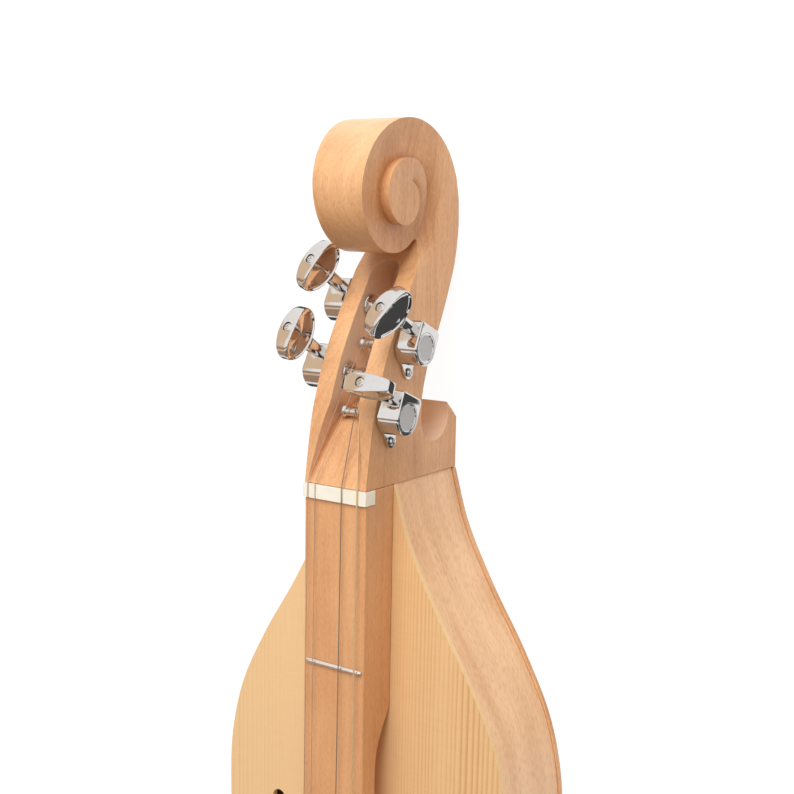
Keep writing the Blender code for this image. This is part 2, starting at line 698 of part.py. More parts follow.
def build_head(datum):
    """Pegbox, scroll and end block, carved from one plank as wide as the fretboard."""
    shape = bmesh.new()
    prism(shape, head_outline(), -HALF, HALF, side_view)
    head = to_object("pegbox_scroll", shape, "hardwood", datum, 28)
    for side, label in ((-1, "melody"), (1, "bass")):
        channel = sweep_guide(f"scroll_channel_{label}", side, CHANNEL_START, THROAT_ANGLE - 4, channel_section, datum)
        boolean(head, channel)
        runout = sweep_guide(f"scroll_runout_{label}", side, THROAT_ANGLE - 8, RUNOUT_END, runout_section, datum)
        boolean(head, runout)
    boolean(head, slot_guide(datum))
    low, high = inner_height()
    outline = block_outline(BODY_START_X, HEAD_BLOCK_END_X)
    outline = [(HEAD_FACE_X - 0.004, outline[0][1])] + outline + [(HEAD_FACE_X - 0.004, -outline[0][1])]
    tenon = bmesh.new()
    prism(tenon, outline, low, high, plan_view)
    boolean(head, guide("body_tenon", tenon, datum), "UNION")
    return head


class TunerFrame:
    """Place of one tuner: along its shaft, towards the scroll, and out from the cheek."""

    def __init__(self, side, x, z, tilt_degrees):
        tilt = math.radians(tilt_degrees)
        self.side = side
        self.tilt_degrees = tilt_degrees
        self.origin = Vector((x, side * HALF, z))
        self.along = Vector((-math.sin(tilt), 0.0, math.cos(tilt)))
        self.across = Vector((-math.cos(tilt), 0.0, -math.sin(tilt)))
        self.out = Vector((0.0, side, 0.0))
        self.shift = Vector((0.0, 0.0, 0.0))

    def moved(self, shift):
        """Same tuner, measured from a joint's empty."""
        copy = TunerFrame(self.side, self.origin.x, self.origin.z, self.tilt_degrees)
        copy.shift = Vector(shift)
        return copy

    def at(self, along, across, out):
        """Point of the tuner, from its distances along, across and out."""
        return self.origin + self.along * along + self.across * across + self.out * out - self.shift

    def post(self, out, first, second):
        """Place for shapes turned round the string post."""
        return self.at(first, second, out)

    def shaft(self, along, first, second):
        """Place for shapes turned round the worm shaft."""
        return self.at(along, GEAR_CENTRES + first, GEAR_LEVEL + second)

    def screw(self, out, first, second):
        """Place for shapes turned round the mounting screw."""
        return self.at(TAB_POINT[0] + first, TAB_POINT[1] + second, out)


def rod(place, start, end, radius, sides):
    """Return a plain closed cylinder in one of the tuner's places."""
    shape = bmesh.new()
    turned(shape, [(start, 0.0), (start, radius), (end, radius), (end, 0.0)], place, sides)
    return shape


def build_housing(label, frame, datum):
    """Cast housing: drum, worm tunnel, shaft boss and screw tab, hollow round the gears."""
    meet = math.degrees(math.asin(math.sqrt(1 - (TUNNEL_FRONT / DRUM_RADIUS) ** 2)))
    outline = arc((0.0, 0.0), DRUM_RADIUS, 180, 360 - meet, 12)
    outline += [(TUNNEL_FRONT, TUNNEL_REACH - 0.0006), (TUNNEL_FRONT - 0.0006, TUNNEL_REACH)]
    outline += arc((-TUNNEL_BACK + TUNNEL_CORNER, TUNNEL_REACH - TUNNEL_CORNER), TUNNEL_CORNER, 90, 180, 4)
    rings = []
    for level, scale in ((GAP, 1.0), (DRUM_HEIGHT - 0.0005, 1.0), (DRUM_HEIGHT, 0.955)):
        rings.append([frame.at(along * scale, across * scale, level) for along, across in outline])
    shape = bmesh.new()
    loft(shape, rings)
    housing = to_object(f"tuner_{label}_housing", shape, "chrome", datum, 32)
    boss = rod(frame.shaft, TUNNEL_FRONT - 0.0011, BOSS_END, BOSS_RADIUS, 12)
    boolean(housing, guide(f"{label}_boss", boss, datum), "UNION")
    angle = math.degrees(math.atan2(TAB_POINT[1], TAB_POINT[0]))
    outline = arc(TAB_POINT, TAB_RADIUS, angle - 90, angle + 90, 8)
    outline += arc((0.0, 0.0), 0.0060, angle + 90, angle + 270, 4)
    tab = bmesh.new()
    prism(tab, outline, GAP + 0.0001, GAP + BASE_THICKNESS, frame.at)
    boolean(housing, guide(f"{label}_tab", tab, datum), "UNION")
    seat = DRUM_HEIGHT - CAP_THICKNESS - GAP
    profile = [(-0.002, 0.0), (-0.002, POST_RADIUS + GAP), (CHAMBER_FLOOR, POST_RADIUS + GAP),
               (CHAMBER_FLOOR, GEAR_CHAMBER_RADIUS), (seat, GEAR_CHAMBER_RADIUS), (seat, CAP_RADIUS + GAP),
               (DRUM_HEIGHT + 0.002, CAP_RADIUS + GAP), (DRUM_HEIGHT + 0.002, 0.0)]
    hollow = bmesh.new()
    turned(hollow, profile, frame.post, 16)
    boolean(housing, guide(f"{label}_hollow", hollow, datum))
    worm_bore = rod(frame.shaft, SHAFT_BACK - 0.0005, 0.0060, WORM_RADIUS + TOOTH_ADDENDUM + 0.0006, 8)
    boolean(housing, guide(f"{label}_worm_bore", worm_bore, datum))
    shaft_bore = rod(frame.shaft, 0.0050, BOSS_END + 0.002, SHAFT_RADIUS + GAP, 8)
    boolean(housing, guide(f"{label}_shaft_bore", shaft_bore, datum))
    screw_bore = rod(frame.screw, -0.002, 0.004, TAB_SCREW_BORE, 8)
    boolean(housing, guide(f"{label}_screw_bore", screw_bore, datum))


def build_cap(label, frame, datum):
    """Pressed cap that closes the drum, with a raised rim round a sunk face."""
    top = DRUM_HEIGHT
    profile = [(top - CAP_THICKNESS, 0.0), (top - CAP_THICKNESS, CAP_RADIUS - 0.0002), (top - 0.0002, CAP_RADIUS),
               (top, CAP_RADIUS - 0.0003), (top, CAP_RADIUS - 0.0009), (top - CAP_RECESS, CAP_RADIUS - 0.0012),
               (top - CAP_RECESS, 0.0)]
    shape = bmesh.new()
    turned(shape, profile, frame.post, 16)
    to_object(f"tuner_{label}_cap", shape, "cap_grey", datum, 30)


def wheel_outline():
    """Outline of the worm wheel, tooth by tooth, as (radius, angle)."""
    outline = []
    pitch = 2 * math.pi / WHEEL_TEETH
    root = WHEEL_RADIUS - TOOTH_DEDENDUM
    crest = WHEEL_RADIUS + TOOTH_ADDENDUM
    for tooth in range(WHEEL_TEETH):
        for offset, radius in ((-0.24, root), (-0.08, crest), (0.08, crest), (0.24, root)):
            outline.append((radius, (tooth + offset) * pitch))
    return outline


def build_post(label, frame, parent):
    """String post with a waist for the winding, and the worm wheel fixed to its inner end."""
    neck = -(HALF - SLOT_HALF) - 0.0018
    tip = -POST_TIP
    top = GEAR_LEVEL + WHEEL_WIDTH / 2 + 0.0005
    profile = [
        (top, 0.0), (top, POST_WAIST), (top - 0.0003, POST_RADIUS), (neck, POST_RADIUS),
        (neck - 0.0003, POST_WAIST), (tip + 0.0028, POST_WAIST), (tip + 0.0018, POST_FLARE),
        (tip + 0.0006, POST_FLARE), (tip, POST_FLARE - 0.0006), (tip, 0.0),
    ]
    shape = bmesh.new()
    turned(shape, profile, frame.post, 12)
    post = to_object(f"tuner_{label}_post", shape, "chrome", parent, 30)
    lead = WORM_PITCH / (2 * math.pi * WORM_RADIUS)
    twist = WHEEL_WIDTH * lead / WHEEL_RADIUS
    rings = []
    for t in (0.0, 1.0):
        level = GEAR_LEVEL + (t - 0.5) * WHEEL_WIDTH
        ring = []
        for radius, angle in wheel_outline():
            turn = angle + math.pi / 2 + (t - 0.5) * twist
            ring.append(frame.at(radius * math.cos(turn), radius * math.sin(turn), level))
        rings.append(ring)
    wheel = bmesh.new()
    loft(wheel, rings)
    boolean(post, guide(f"{label}_worm_wheel", wheel, parent), "UNION")


def worm_radius(along, turn):
    """Radius of the worm at a place along it and an angle round it, in turns."""
    phase = (along / WORM_PITCH - turn - 0.25) % 1.0
    distance = min(phase, 1.0 - phase)
    root = WORM_RADIUS - TOOTH_DEDENDUM
    crest = WORM_RADIUS + TOOTH_ADDENDUM
    blend = float(np.clip((0.24 - distance) / 0.16, 0.0, 1.0))
    reach = WORM_PITCH * WORM_TURNS / 2
    fade = float(np.clip((reach - abs(along)) / (WORM_PITCH * 0.4), 0.0, 1.0))
    return root + (crest - root) * blend * fade


def build_worm_shaft(label, frame, parent):
    """Worm shaft: back journal, thread, bearing length and the end inside the button."""
    sides = 8
    reach = WORM_PITCH * WORM_TURNS / 2
    rows = int(WORM_TURNS * 4)
    levels = [(SHAFT_BACK, lambda turn: SCREW_BORE_RADIUS), (SHAFT_BACK + 0.0002, lambda turn: JOURNAL_RADIUS)]
    for row in range(rows + 1):
        along = -reach + 2 * reach * row / rows
        levels.append((along, lambda turn, along=along: worm_radius(along, turn)))
    for along, radius in ((reach + 0.0004, SHAFT_RADIUS), (SHAFT_END, SHAFT_RADIUS),
                          (SHAFT_END, SCREW_BORE_RADIUS), (SHAFT_END - 0.0045, SCREW_BORE_RADIUS)):
        levels.append((along, lambda turn, radius=radius: radius))
    rings = []
    for along, radius_at in levels:
        ring = []
        for step in range(sides):
            turn = step / sides
            radius = radius_at(turn)
            angle = 2 * math.pi * turn
            ring.append(frame.shaft(along, -radius * math.sin(angle), radius * math.cos(angle)))
        rings.append(ring)
    shape = bmesh.new()
    loft(shape, rings)
    to_object(f"tuner_{label}_worm_shaft", shape, "gear_brass", parent, 40)


def button_outline(count):
    """Outline of a button, (along its length, along the shaft), with a fuller outer edge."""
    points = []
    for step in range(count):
        angle = 2 * math.pi * step / count
        cosine, sine = math.cos(angle), math.sin(angle)
        length = BUTTON_LENGTH / 2 * math.copysign(abs(cosine) ** 0.90, cosine)
        depth = BUTTON_DEPTH / 2 * math.copysign(abs(sine) ** (0.86 if sine > 0 else 1.0), sine)
        points.append((length, depth))
    return points


def build_button(label, frame, roll, parent):
    """Oval button: a crowned rim, two dished faces and a collar round the shaft."""
    centre = BUTTON_START + BUTTON_DEPTH / 2
    turn = math.radians(roll)
    side = frame.side

    def place(length, depth, thick):
        across = length * math.sin(turn) - side * thick * math.cos(turn)
        out = side * length * math.cos(turn) + thick * math.sin(turn)
        return frame.shaft(centre + depth, across, out)

    rows = [
        (0.48, -0.60, 0.0), (0.86, -0.84, 1.0), (0.925, -0.98, 1.0), (0.960, -0.98, 1.0), (1.0, -0.74, 1.0),
        (1.0, 0.74, 1.0), (0.960, 0.98, 1.0), (0.925, 0.98, 1.0), (0.86, 0.84, 1.0), (0.48, 0.60, 0.0),
    ]
    rings = []
    for scale, level, slimming in rows:
        ring = []
        for length, depth in button_outline(16):
            slim = 1.0 - BUTTON_TAPER * slimming * (2 * length / BUTTON_LENGTH) ** 2
            ring.append(place(length * scale, depth * scale, level * BUTTON_THICKNESS / 2 * slim))
        rings.append(ring)
    shape = bmesh.new()
    loft(shape, rings)
    button = to_object(f"tuner_{label}_button", shape, "chrome", parent, 32)
    start = BOSS_END + 0.0005
    neck = BUTTON_START + 0.0004
    profile = [(start, 0.0), (start, BOSS_RADIUS - 0.0002), (neck, BUTTON_COLLAR_RADIUS - 0.0006),
               (neck + 0.0026, BUTTON_COLLAR_RADIUS), (neck + 0.0026, 0.0)]
    collar = bmesh.new()
    turned(collar, profile, frame.shaft, 12)
    boolean(button, guide(f"{label}_collar", collar, parent), "UNION")
    outer = BUTTON_START + BUTTON_DEPTH
    seat = outer - BUTTON_SCREW_HEIGHT - 0.0002
    profile = [(BOSS_END - 0.001, 0.0), (BOSS_END - 0.001, SHAFT_RADIUS + GAP),
               (SHAFT_END + GAP, SHAFT_RADIUS + GAP), (SHAFT_END + GAP, SCREW_BORE_RADIUS),
               (seat - GAP, SCREW_BORE_RADIUS),
               (seat - GAP, BUTTON_SCREW_RADIUS + GAP), (outer + 0.002, BUTTON_SCREW_RADIUS + GAP),
               (outer + 0.002, 0.0)]
    bore = bmesh.new()
    turned(bore, profile, frame.shaft, 8)
    boolean(button, guide(f"{label}_button_bore", bore, parent))


def cross_recess(name, top, place, parent):
    """Cutter of a cross-head screw's recess."""
    arm, half, depth = 0.0011, 0.00022, 0.0005
    outline = [(arm, -half), (arm, half), (half, half), (half, arm), (-half, arm), (-half, half),
               (-arm, half), (-arm, -half), (-half, -half), (-half, -arm), (half, -arm), (half, -half)]
    shape = bmesh.new()
    prism(shape, outline, top - depth, top + 0.001, lambda a, b, h: place(h, a, b))
    return guide(name, shape, parent)


def build_screw(name, place, seat, head_radius, head_height, shank_radius, shank_end, parent):
    """Round-head screw with a cross recess; place maps (along, first, second)."""
    top = seat + head_height
    profile = [(shank_end, 0.0), (shank_end, shank_radius), (seat, shank_radius), (seat, head_radius),
               (seat + head_height * 0.5, head_radius), (top, head_radius * 0.70), (top, 0.0)]
    shape = bmesh.new()
    turned(shape, profile, place, 8)
    screw = to_object(name, shape, "chrome", parent, 30)
    boolean(screw, cross_recess(f"{name}_recess", top, place, parent))


def build_bushing(label, frame, datum):
    """Bushing through the cheek, with a washer and a hexagon on the inside of the pegbox."""
    face = -(HALF - SLOT_HALF) - GAP
    bore = POST_RADIUS + GAP
    profile = [
        (-GAP, bore), (-GAP, SLEEVE_RADIUS), (face, SLEEVE_RADIUS), (face, WASHER_RADIUS - 0.0002),
        (face - WASHER_THICKNESS * 0.6, WASHER_RADIUS), (face - WASHER_THICKNESS, WASHER_RADIUS - 0.0004),
        (face - WASHER_THICKNESS, bore),
    ]
    shape = bmesh.new()
    turned(shape, profile, frame.post, 14)
    bushing = to_object(f"tuner_{label}_bushing", shape, "chrome", datum, 30)
    top = face - WASHER_THICKNESS - HEX_HEIGHT
    hexagon = rod(frame.post, face - GAP, top, HEX_RADIUS, 6)
    boolean(bushing, guide(f"{label}_hexagon", hexagon, datum), "UNION")
    through = rod(frame.post, top - 0.002, 0.002, bore, 14)
    boolean(bushing, guide(f"{label}_bushing_bore", through, datum))


def build_tuner(head, datum, label, side, x, z, tilt, roll):
    """One worm-geared tuner and its holes in the pegbox."""
    frame = TunerFrame(side, x, z, tilt)
    build_housing(label, frame, datum)
    build_cap(label, frame, datum)
    build_bushing(label, frame, datum)
    build_screw(f"tuner_{label}_mounting_screw", frame.screw, BASE_THICKNESS + 2 * GAP, *TAB_SCREW_HEAD,
                *TAB_SCREW_SHANK, datum)
    post_place = frame.at(0.0, 0.0, 0.0)
    post_axis = empty(f"{label}_post_axis", post_place, datum)
    build_post(label, frame.moved(post_place), post_axis)
    shaft_place = frame.shaft(0.0, 0.0, 0.0)
    shaft_axis = empty(f"{label}_shaft_axis", shaft_place, datum)
    on_shaft = frame.moved(shaft_place)
    build_worm_shaft(label, on_shaft, shaft_axis)
    build_button(label, on_shaft, roll, shaft_axis)
    outer = BUTTON_START + BUTTON_DEPTH
    build_screw(f"tuner_{label}_button_screw", on_shaft.shaft, outer - BUTTON_SCREW_HEIGHT - 0.0002,
                BUTTON_SCREW_RADIUS, BUTTON_SCREW_HEIGHT, 0.0006, SHAFT_END - 0.0040, shaft_axis)
    relief = -(HALF - SLOT_HALF) + 0.0001
    profile = [(0.002, 0.0), (0.002, SLEEVE_RADIUS + GAP), (relief, SLEEVE_RADIUS + GAP),
               (relief, WASHER_RADIUS + 0.0004), (relief - 0.0025, WASHER_RADIUS + 0.0004), (relief - 0.0025, 0.0)]
    sleeve_hole = bmesh.new()
    turned(sleeve_hole, profile, frame.post, 12)
    boolean(head, guide(f"{label}_sleeve_hole", sleeve_hole, datum))
    pilot = rod(frame.screw, PILOT_HOLE[1], CUT_PAST, PILOT_HOLE[0], 8)
    boolean(head, guide(f"{label}_pilot_hole", pilot, datum))


def notch_level(top, radius):
    """Height of a string's centre where it lies in a V notch cut in a saddle."""
    slant = math.hypot(NOTCH_REACH, 2 * NOTCH_DEPTH) / NOTCH_REACH
    return top - NOTCH_DEPTH + (radius + GAP + NOTCH_SPARE) * slant


def winding_points(x, z, radius, start_y, loops, direction, target):
    """Helix round a post that leaves it on the tangent towards the target (x, z)."""
    circle = POST_WAIST + GAP + radius + WIRE_SPARE
    away = Vector((target[0] - x, target[1] - z))
    leave = math.atan2(away.y, away.x) + math.acos(circle / away.length)
    pitch = 2 * radius + WINDING_SPACE
    count = round(loops * POINTS_PER_LOOP)
    points = []
    for step in range(count + 1):
        turn = 2 * math.pi * (count - step) / POINTS_PER_LOOP
        y = start_y + direction * pitch * turn / (2 * math.pi)
        points.append(Vector((x + circle * math.cos(leave + turn), y, z + circle * math.sin(leave + turn))))
    return points


def string_points(string, post, peg_side):
    """Centre line of one string from its post over nut and bridge to its hitch peg."""
    _, diameter, nut_y, bridge_y, start_y, loops, direction, leans = string
    radius = diameter / 2
    nut_z = notch_level(NUT_TOP, radius)
    bridge_z = notch_level(BOARD_TOP + BRIDGE_HEIGHT, radius)
    path = [Vector(lean) for lean in leans]
    path.append(Vector((HEAD_FACE_X - 0.0005, nut_y, nut_z)))
    points = winding_points(post[0], post[1], radius, start_y, loops, direction, (path[0].x, path[0].z))
    points += path
    points.append(Vector((0.0006, nut_y, nut_z)))
    points.append(Vector((SCALE_LENGTH - 0.0026, bridge_y, bridge_z)))
    points.append(Vector((SCALE_LENGTH + 0.0026, bridge_y, bridge_z)))
    reach = END_CORNER_RADIUS + GAP + radius + WIRE_SPARE
    centre = (TAIL_X - END_CORNER_RADIUS, BOARD_TOP - END_CORNER_RADIUS)
    for x, z in arc(centre, reach, 88, 0, 4):
        points.append(Vector((x, bridge_y, z)))
    plate_face = TAIL_X + GAP + HITCH_PLATE[3]
    hang_x = plate_face + GAP + radius + NOTCH_SPARE
    peg_z = PEG_HEIGHTS[[one[0] for one in STRINGS].index(string[0])]
    points.append(Vector((TAIL_X + GAP + radius + 0.0002, bridge_y, 0.0600)))
    points.append(Vector((hang_x, bridge_y, HITCH_PLATE[2] + 0.0012)))
    swing = PEG_RADIUS + GAP + radius + WIRE_SPARE
    for step in range(7):
        angle = math.pi * step / 6
        y = bridge_y + peg_side * swing * (1 - math.cos(angle))
        points.append(Vector((hang_x, y, peg_z - swing * math.sin(angle))))
    points.append(Vector((hang_x, bridge_y + peg_side * 2 * swing, peg_z + 0.0022)))
    return points, bridge_y + peg_side * swing, peg_z


def tube(shape, points, radius, sides):
    """Sweep a closed tube along points, without twist."""
    tangents = []
    for index in range(len(points)):
        before = points[max(0, index - 1)]
        after = points[min(len(points) - 1, index + 1)]
        here = points[index]
        first = (here - before).normalized() if index else Vector((0.0, 0.0, 0.0))
        second = (after - here).normalized() if index < len(points) - 1 else Vector((0.0, 0.0, 0.0))
        tangents.append((first + second).normalized())
    normal = tangents[0].orthogonal().normalized()
    rings = []
    for index, point in enumerate(points):
        if index:
            normal = tangents[index - 1].rotation_difference(tangents[index]) @ normal
        normal = (normal - tangents[index] * normal.dot(tangents[index])).normalized()
        other = tangents[index].cross(normal)
        ring = []
        for step in range(sides):
            angle = 2 * math.pi * step / sides
            ring.append(point + normal * (radius * math.cos(angle)) + other * (radius * math.sin(angle)))
        rings.append(ring)
    loft(shape, rings)


def least_gap(points, diameter):
    """Least free space between stretches of one wire that lie over half a loop apart."""
    least = math.inf
    for index, point in enumerate(points):
        for other in points[index + POINTS_PER_LOOP // 2:]:
            least = min(least, (other - point).length - diameter)
    return least


def build_strings(datum):
    """Four strings, each one unbroken wire, and the hitch plate that they hook on."""
    pegs = []
    posts = {tuner[0]: (tuner[2], tuner[3]) for tuner in TUNERS}
    for string, peg_side in zip(STRINGS, (-1, 1, -1, 1)):
        points, peg_y, peg_z = string_points(string, posts[string[0]], peg_side)
        pegs.append((peg_y, peg_z))
        gap = least_gap(points, string[1])
        print(f"string_{string[0]}: least gap to itself {gap * 1000:.2f} mm")
        shape = bmesh.new()
        tube(shape, points, string[1] / 2, STRING_SIDES)
        kind = "string_bronze" if string[0] == "bass" else "string_steel"
        to_object(f"string_{string[0]}", shape, kind, datum, 60)
    half, low, high, thickness = HITCH_PLATE
    near = TAIL_X + GAP
    corner = PLATE_CORNER
    outline = arc((half - corner, high - corner), corner, 0, 90, 4)
    outline += arc((-half + corner, high - corner), corner, 90, 180, 4)
    outline += arc((-half + corner, low + corner), corner, 180, 270, 4)
    outline += arc((half - corner, low + corner), corner, 270, 360, 4)
    shape = bmesh.new()
    prism(shape, outline, near, near + thickness, lambda a, b, h: Vector((h, a, b)))
    plate = to_object("hitch_plate", shape, "chrome", datum, 30)
    end = TAIL_X + PIN_REACH
    for number, (y, z) in enumerate(pegs, 1):
        profile = [(near + thickness / 2, 0.0), (near + thickness / 2, PEG_RADIUS), (end - 0.0010, PEG_RADIUS),
                   (end - 0.0007, PEG_HEAD_RADIUS), (end, PEG_HEAD_RADIUS - 0.0003), (end, 0.0)]
        peg = bmesh.new()
        turned(peg, profile, lambda along, a, b: Vector((along, y + a, z + b)), 8)
        boolean(plate, guide(f"hitch_peg_{number}", peg, datum), "UNION")


def main():
    """Build the whole instrument."""
    clear_scene()
    datum = empty("nut_datum", (NUT_X, 0.0, 0.0))
    build_back(datum)
    build_sides(datum)
    build_soundboard(datum)
    build_fretboard(datum)
    build_frets(datum)
    build_nut(datum)
    build_bridge(datum)
    head = build_head(datum)
    for tuner in TUNERS:
        build_tuner(head, datum, *tuner)
    build_strings(datum)


main()
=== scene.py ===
"""Looks of the mountain dulcimer: fine carved wood, polished tuners and wire strings.

Lengths are in metres, in the frame of the solids. Every X in the sizes below is counted from
the tail-side edge of the nut, as on the real instrument.
"""
import json
import math

import bmesh
import bpy
import numpy as np
from mathutils import Matrix, Vector

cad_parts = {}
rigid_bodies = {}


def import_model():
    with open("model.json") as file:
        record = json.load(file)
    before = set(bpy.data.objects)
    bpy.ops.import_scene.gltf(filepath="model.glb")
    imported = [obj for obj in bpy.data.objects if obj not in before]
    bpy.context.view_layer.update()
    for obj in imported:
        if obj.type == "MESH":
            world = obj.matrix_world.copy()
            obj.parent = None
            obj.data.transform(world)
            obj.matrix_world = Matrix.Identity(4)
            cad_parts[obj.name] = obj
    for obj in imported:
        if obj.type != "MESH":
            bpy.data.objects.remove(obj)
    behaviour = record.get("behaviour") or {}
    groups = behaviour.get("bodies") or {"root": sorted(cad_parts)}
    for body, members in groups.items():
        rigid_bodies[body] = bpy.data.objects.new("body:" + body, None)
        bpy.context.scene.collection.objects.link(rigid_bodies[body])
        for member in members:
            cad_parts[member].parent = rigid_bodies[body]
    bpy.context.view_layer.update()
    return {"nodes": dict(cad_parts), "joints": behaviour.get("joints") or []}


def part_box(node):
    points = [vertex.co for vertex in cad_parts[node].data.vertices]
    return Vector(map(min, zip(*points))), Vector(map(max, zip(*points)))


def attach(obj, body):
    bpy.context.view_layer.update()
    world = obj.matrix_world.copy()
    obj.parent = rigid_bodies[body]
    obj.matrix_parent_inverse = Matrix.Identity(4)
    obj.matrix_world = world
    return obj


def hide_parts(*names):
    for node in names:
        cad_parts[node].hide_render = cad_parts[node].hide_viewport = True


for leftover in list(bpy.data.objects):
    bpy.data.objects.remove(leftover, do_unlink=True)

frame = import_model()
BODY = "instrument"

# Camera of the photograph
CAMERA_PLACE = Vector((-0.41891, 0.31334, 0.48780))
CAMERA_AIM = Vector((-0.34323, 0.01588, 0.05000))
CAMERA_UP = Vector((-0.98978, -0.09425, -0.10705))
CAMERA_LENS = 55.33

# Light: name, place, aim, size, power and colour of each lamp, and the even fill from all sides
WHITE = (1.0, 1.0, 1.0)
LAMPS = (
    ("key", (-1.45, 0.14, 1.14), (-0.30, 0.0, 0.05), 1.1, 24.0, WHITE),
    ("cool_side", (-1.60, 0.0, 0.36), (-0.40, 0.0, 0.06), 1.0, 8.0, (0.35, 0.68, 1.0)),
)
FILL_COLOUR = (1.0, 0.89, 0.79)
FILL_STRENGTH = 0.47
FLOOR_COLOUR = (0.86, 0.83, 0.80)
FLOOR_WHITE = 1.06
FLOOR_WHITE_SHARE = 0.90

# The room that metal mirrors, by direction: white up to an X, then dark but for a white strip. The
# white part is tan up to a Y, apart from its front and its top, and the dark part is brown up to a Y
ROOM_TAN = (0.80, 0.59, 0.41)
ROOM_BROWN = (0.40, 0.27, 0.19)
ROOM_DARK = (0.035, 0.032, 0.03)
ROOM_WHITE_END = (0.05, 0.17)
ROOM_STRIP = ((0.27, 0.30), (0.41, 0.44))
ROOM_STRIP_SHARE = 0.95
ROOM_TAN_END = (-0.60, -0.40)
ROOM_FRONT_END = (-0.60, -0.56)
ROOM_FRONT_SHARE = 0.9
ROOM_TOP_START = (0.70, 0.76)
ROOM_BROWN_END = (-0.45, 0.10)

# The floor that metal mirrors: a dark stretch on each side of the head, by X, whose inner edge is
# given by |Y|. The edge comes nearer by the nut (turn) and beside the middle tuner (step)
DARK_LENGTH = ((-0.50, -0.46), (-0.20, -0.16))
DARK_EDGE = (0.0635, 0.0685)
DARK_TURN = (-0.317, -0.305)
DARK_TURN_DEPTH = 0.024
DARK_STEP = ((-0.351, -0.346), (-0.335, -0.331))
DARK_STEP_DEPTH = 0.008
DARK_SHARE = 0.93

# Main sizes, read from the frame
NUT_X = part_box("nut")[1].x
BODY_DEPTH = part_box("soundboard")[1].z
BOARD_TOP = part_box("fretboard")[1].z
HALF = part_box("fretboard")[1].y
TAIL_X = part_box("fretboard")[1].x - NUT_X
HEAD_FACE_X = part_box("fretboard")[0].x - NUT_X - 0.0003
GAP = 0.0003
OVERCUT = 0.002
SCALE_LENGTH = 0.686
CUT, JOIN = "DIFFERENCE", "UNION"

# Body outline: distance from the nut and half width of the plates
BODY_OUTLINE = [
    (-0.0062, 0.0166), (0.0189, 0.0244), (0.0474, 0.0392), (0.0758, 0.0568), (0.1042, 0.0711),
    (0.1326, 0.0781), (0.1610, 0.0793), (0.2450, 0.0672), (0.3300, 0.0590), (0.4200, 0.0708),
    (0.5000, 0.0890), (0.5700, 0.0955), (0.6400, 0.0830), (0.7050, 0.0520), (TAIL_X, 0.0250),
]
PLATE_OVERHANG = 0.0008
SOUNDBOARD_THICKNESS = 0.0028
BACK_THICKNESS = 0.0030
RIB_THICKNESS = 0.0025
HEAD_BLOCK_END_X = 0.0260
RIB_LEVELS = (BACK_THICKNESS + GAP, BODY_DEPTH - SOUNDBOARD_THICKNESS - GAP)

# Sound holes: centre, tilt in degrees away from the strings' line, and size
SOUND_HOLES = ((0.1937, 0.0535, 7.0), (0.5480, 0.0590, -7.0))
HOLE_LENGTH = 0.0820
HOLE_SWING = 0.0062
HOLE_STEM = 0.0042
HOLE_TIP = 0.0009
HOLE_EYE_RADIUS = 0.0038

# Fretboard: arches along its underside, each from foot to foot, and the strum hollow
ARCHES = ((0.0955, 0.2350), (0.2620, 0.4015), (0.4285, 0.5460))
ARCH_HEIGHT = 0.0106
ARCH_SWEEP = 0.0300
STRUM_HOLLOW = (0.5620, 0.6520)
STRUM_DEPTH = 0.0075
END_CORNER_RADIUS = 0.0040
END_CORNER = (TAIL_X - END_CORNER_RADIUS, BOARD_TOP - END_CORNER_RADIUS)
FRET_SEMITONES = (2, 4, 5, 7, 9, 10, 12, 14, 16, 17, 19, 21, 22, 24)
FRET_WIDTH = 0.0024
FRET_HEIGHT = 0.0011
FRET_LENGTH = 2 * HALF - 0.0022
TANG_DEPTH = 0.0018
TANG_WIDTH = 0.0006

# Nut and bridge
NUT_TOP = BOARD_TOP + 0.0013
NUT_BOTTOM = BOARD_TOP - 0.0060
BRIDGE_HEIGHT = 0.0062
NOTCH_DEPTH = 0.0006

# Head, side view: front edge of the pegbox, back of the pegbox, and the block behind it
PEGBOX_FRONT = [
    (HEAD_FACE_X, 0.0734), (-0.0220, 0.0712), (-0.0380, 0.0682), (-0.0570, 0.0618),
    (-0.0750, 0.0528), (-0.0920, 0.0420), (-0.1040, 0.0346), (-0.1095, 0.0326), (-0.1132, 0.0314),
]
PEGBOX_BACK = [
    (-0.1315, 0.0035), (-0.1180, 0.0032), (-0.1032, 0.0056), (-0.0882, 0.0112),
    (-0.0740, 0.0178), (-0.0600, 0.0254), (-0.0504, 0.0290), (-0.0420, 0.0312),
]
NOTCH_CENTRE = (-0.0330, 0.0200)
NOTCH_RADIUS = 0.0115
LIP_ANGLE = 242.0
LIP_CHAMFER = (-0.0323, 0.0030)
BLOCK_BACK_Z = 0.0010

# Scroll: spiral radius at each quarter turn, from the back of the neck in to the eye
SCROLL_CENTRE = (-0.1315, 0.0455)
SCROLL_RADII = (0.0420, 0.0337, 0.0285, 0.0240, 0.0195, 0.0168, 0.0143, 0.0120, 0.0093, 0.0070)
THROAT_ANGLE = 306.0
RIM_HALF_WIDTHS = ((-40, 0.0168), (30, 0.0168), (90, 0.0160), (135, 0.0148), (180, 0.0134),
                   (225, 0.0124), (270, 0.0118), (340, 0.0114))
CHANNEL_START = -78.0
CHANNEL_DEPTHS = ((280, 0.0002), (300, 0.0046), (315, 0.0048), (335, 0.0042), (360, 0.0036), (405, 0.0033),
                  (450, 0.0036), (495, 0.0043), (540, 0.0047), (630, 0.0051), (670, 0.0051))
CHANNEL_DISH = 0.0007
# Painted shade on the head: its reach round the scroll's centre, its depth of tone, and the reach of the
# darkening in the corners
CHANNEL_SHADE_REACH = (0.034, 0.050)
CHANNEL_SHADE_TONE = 0.35
CORNER_SHADE_REACH = 0.0045
RUNOUT_END = 425.0
RUNOUT_RIM_DEPTHS = ((296, 0.0049), (330, 0.0043), (360, 0.0029), (390, 0.0014), (412, 0.0004),
                     (430, -0.0004))
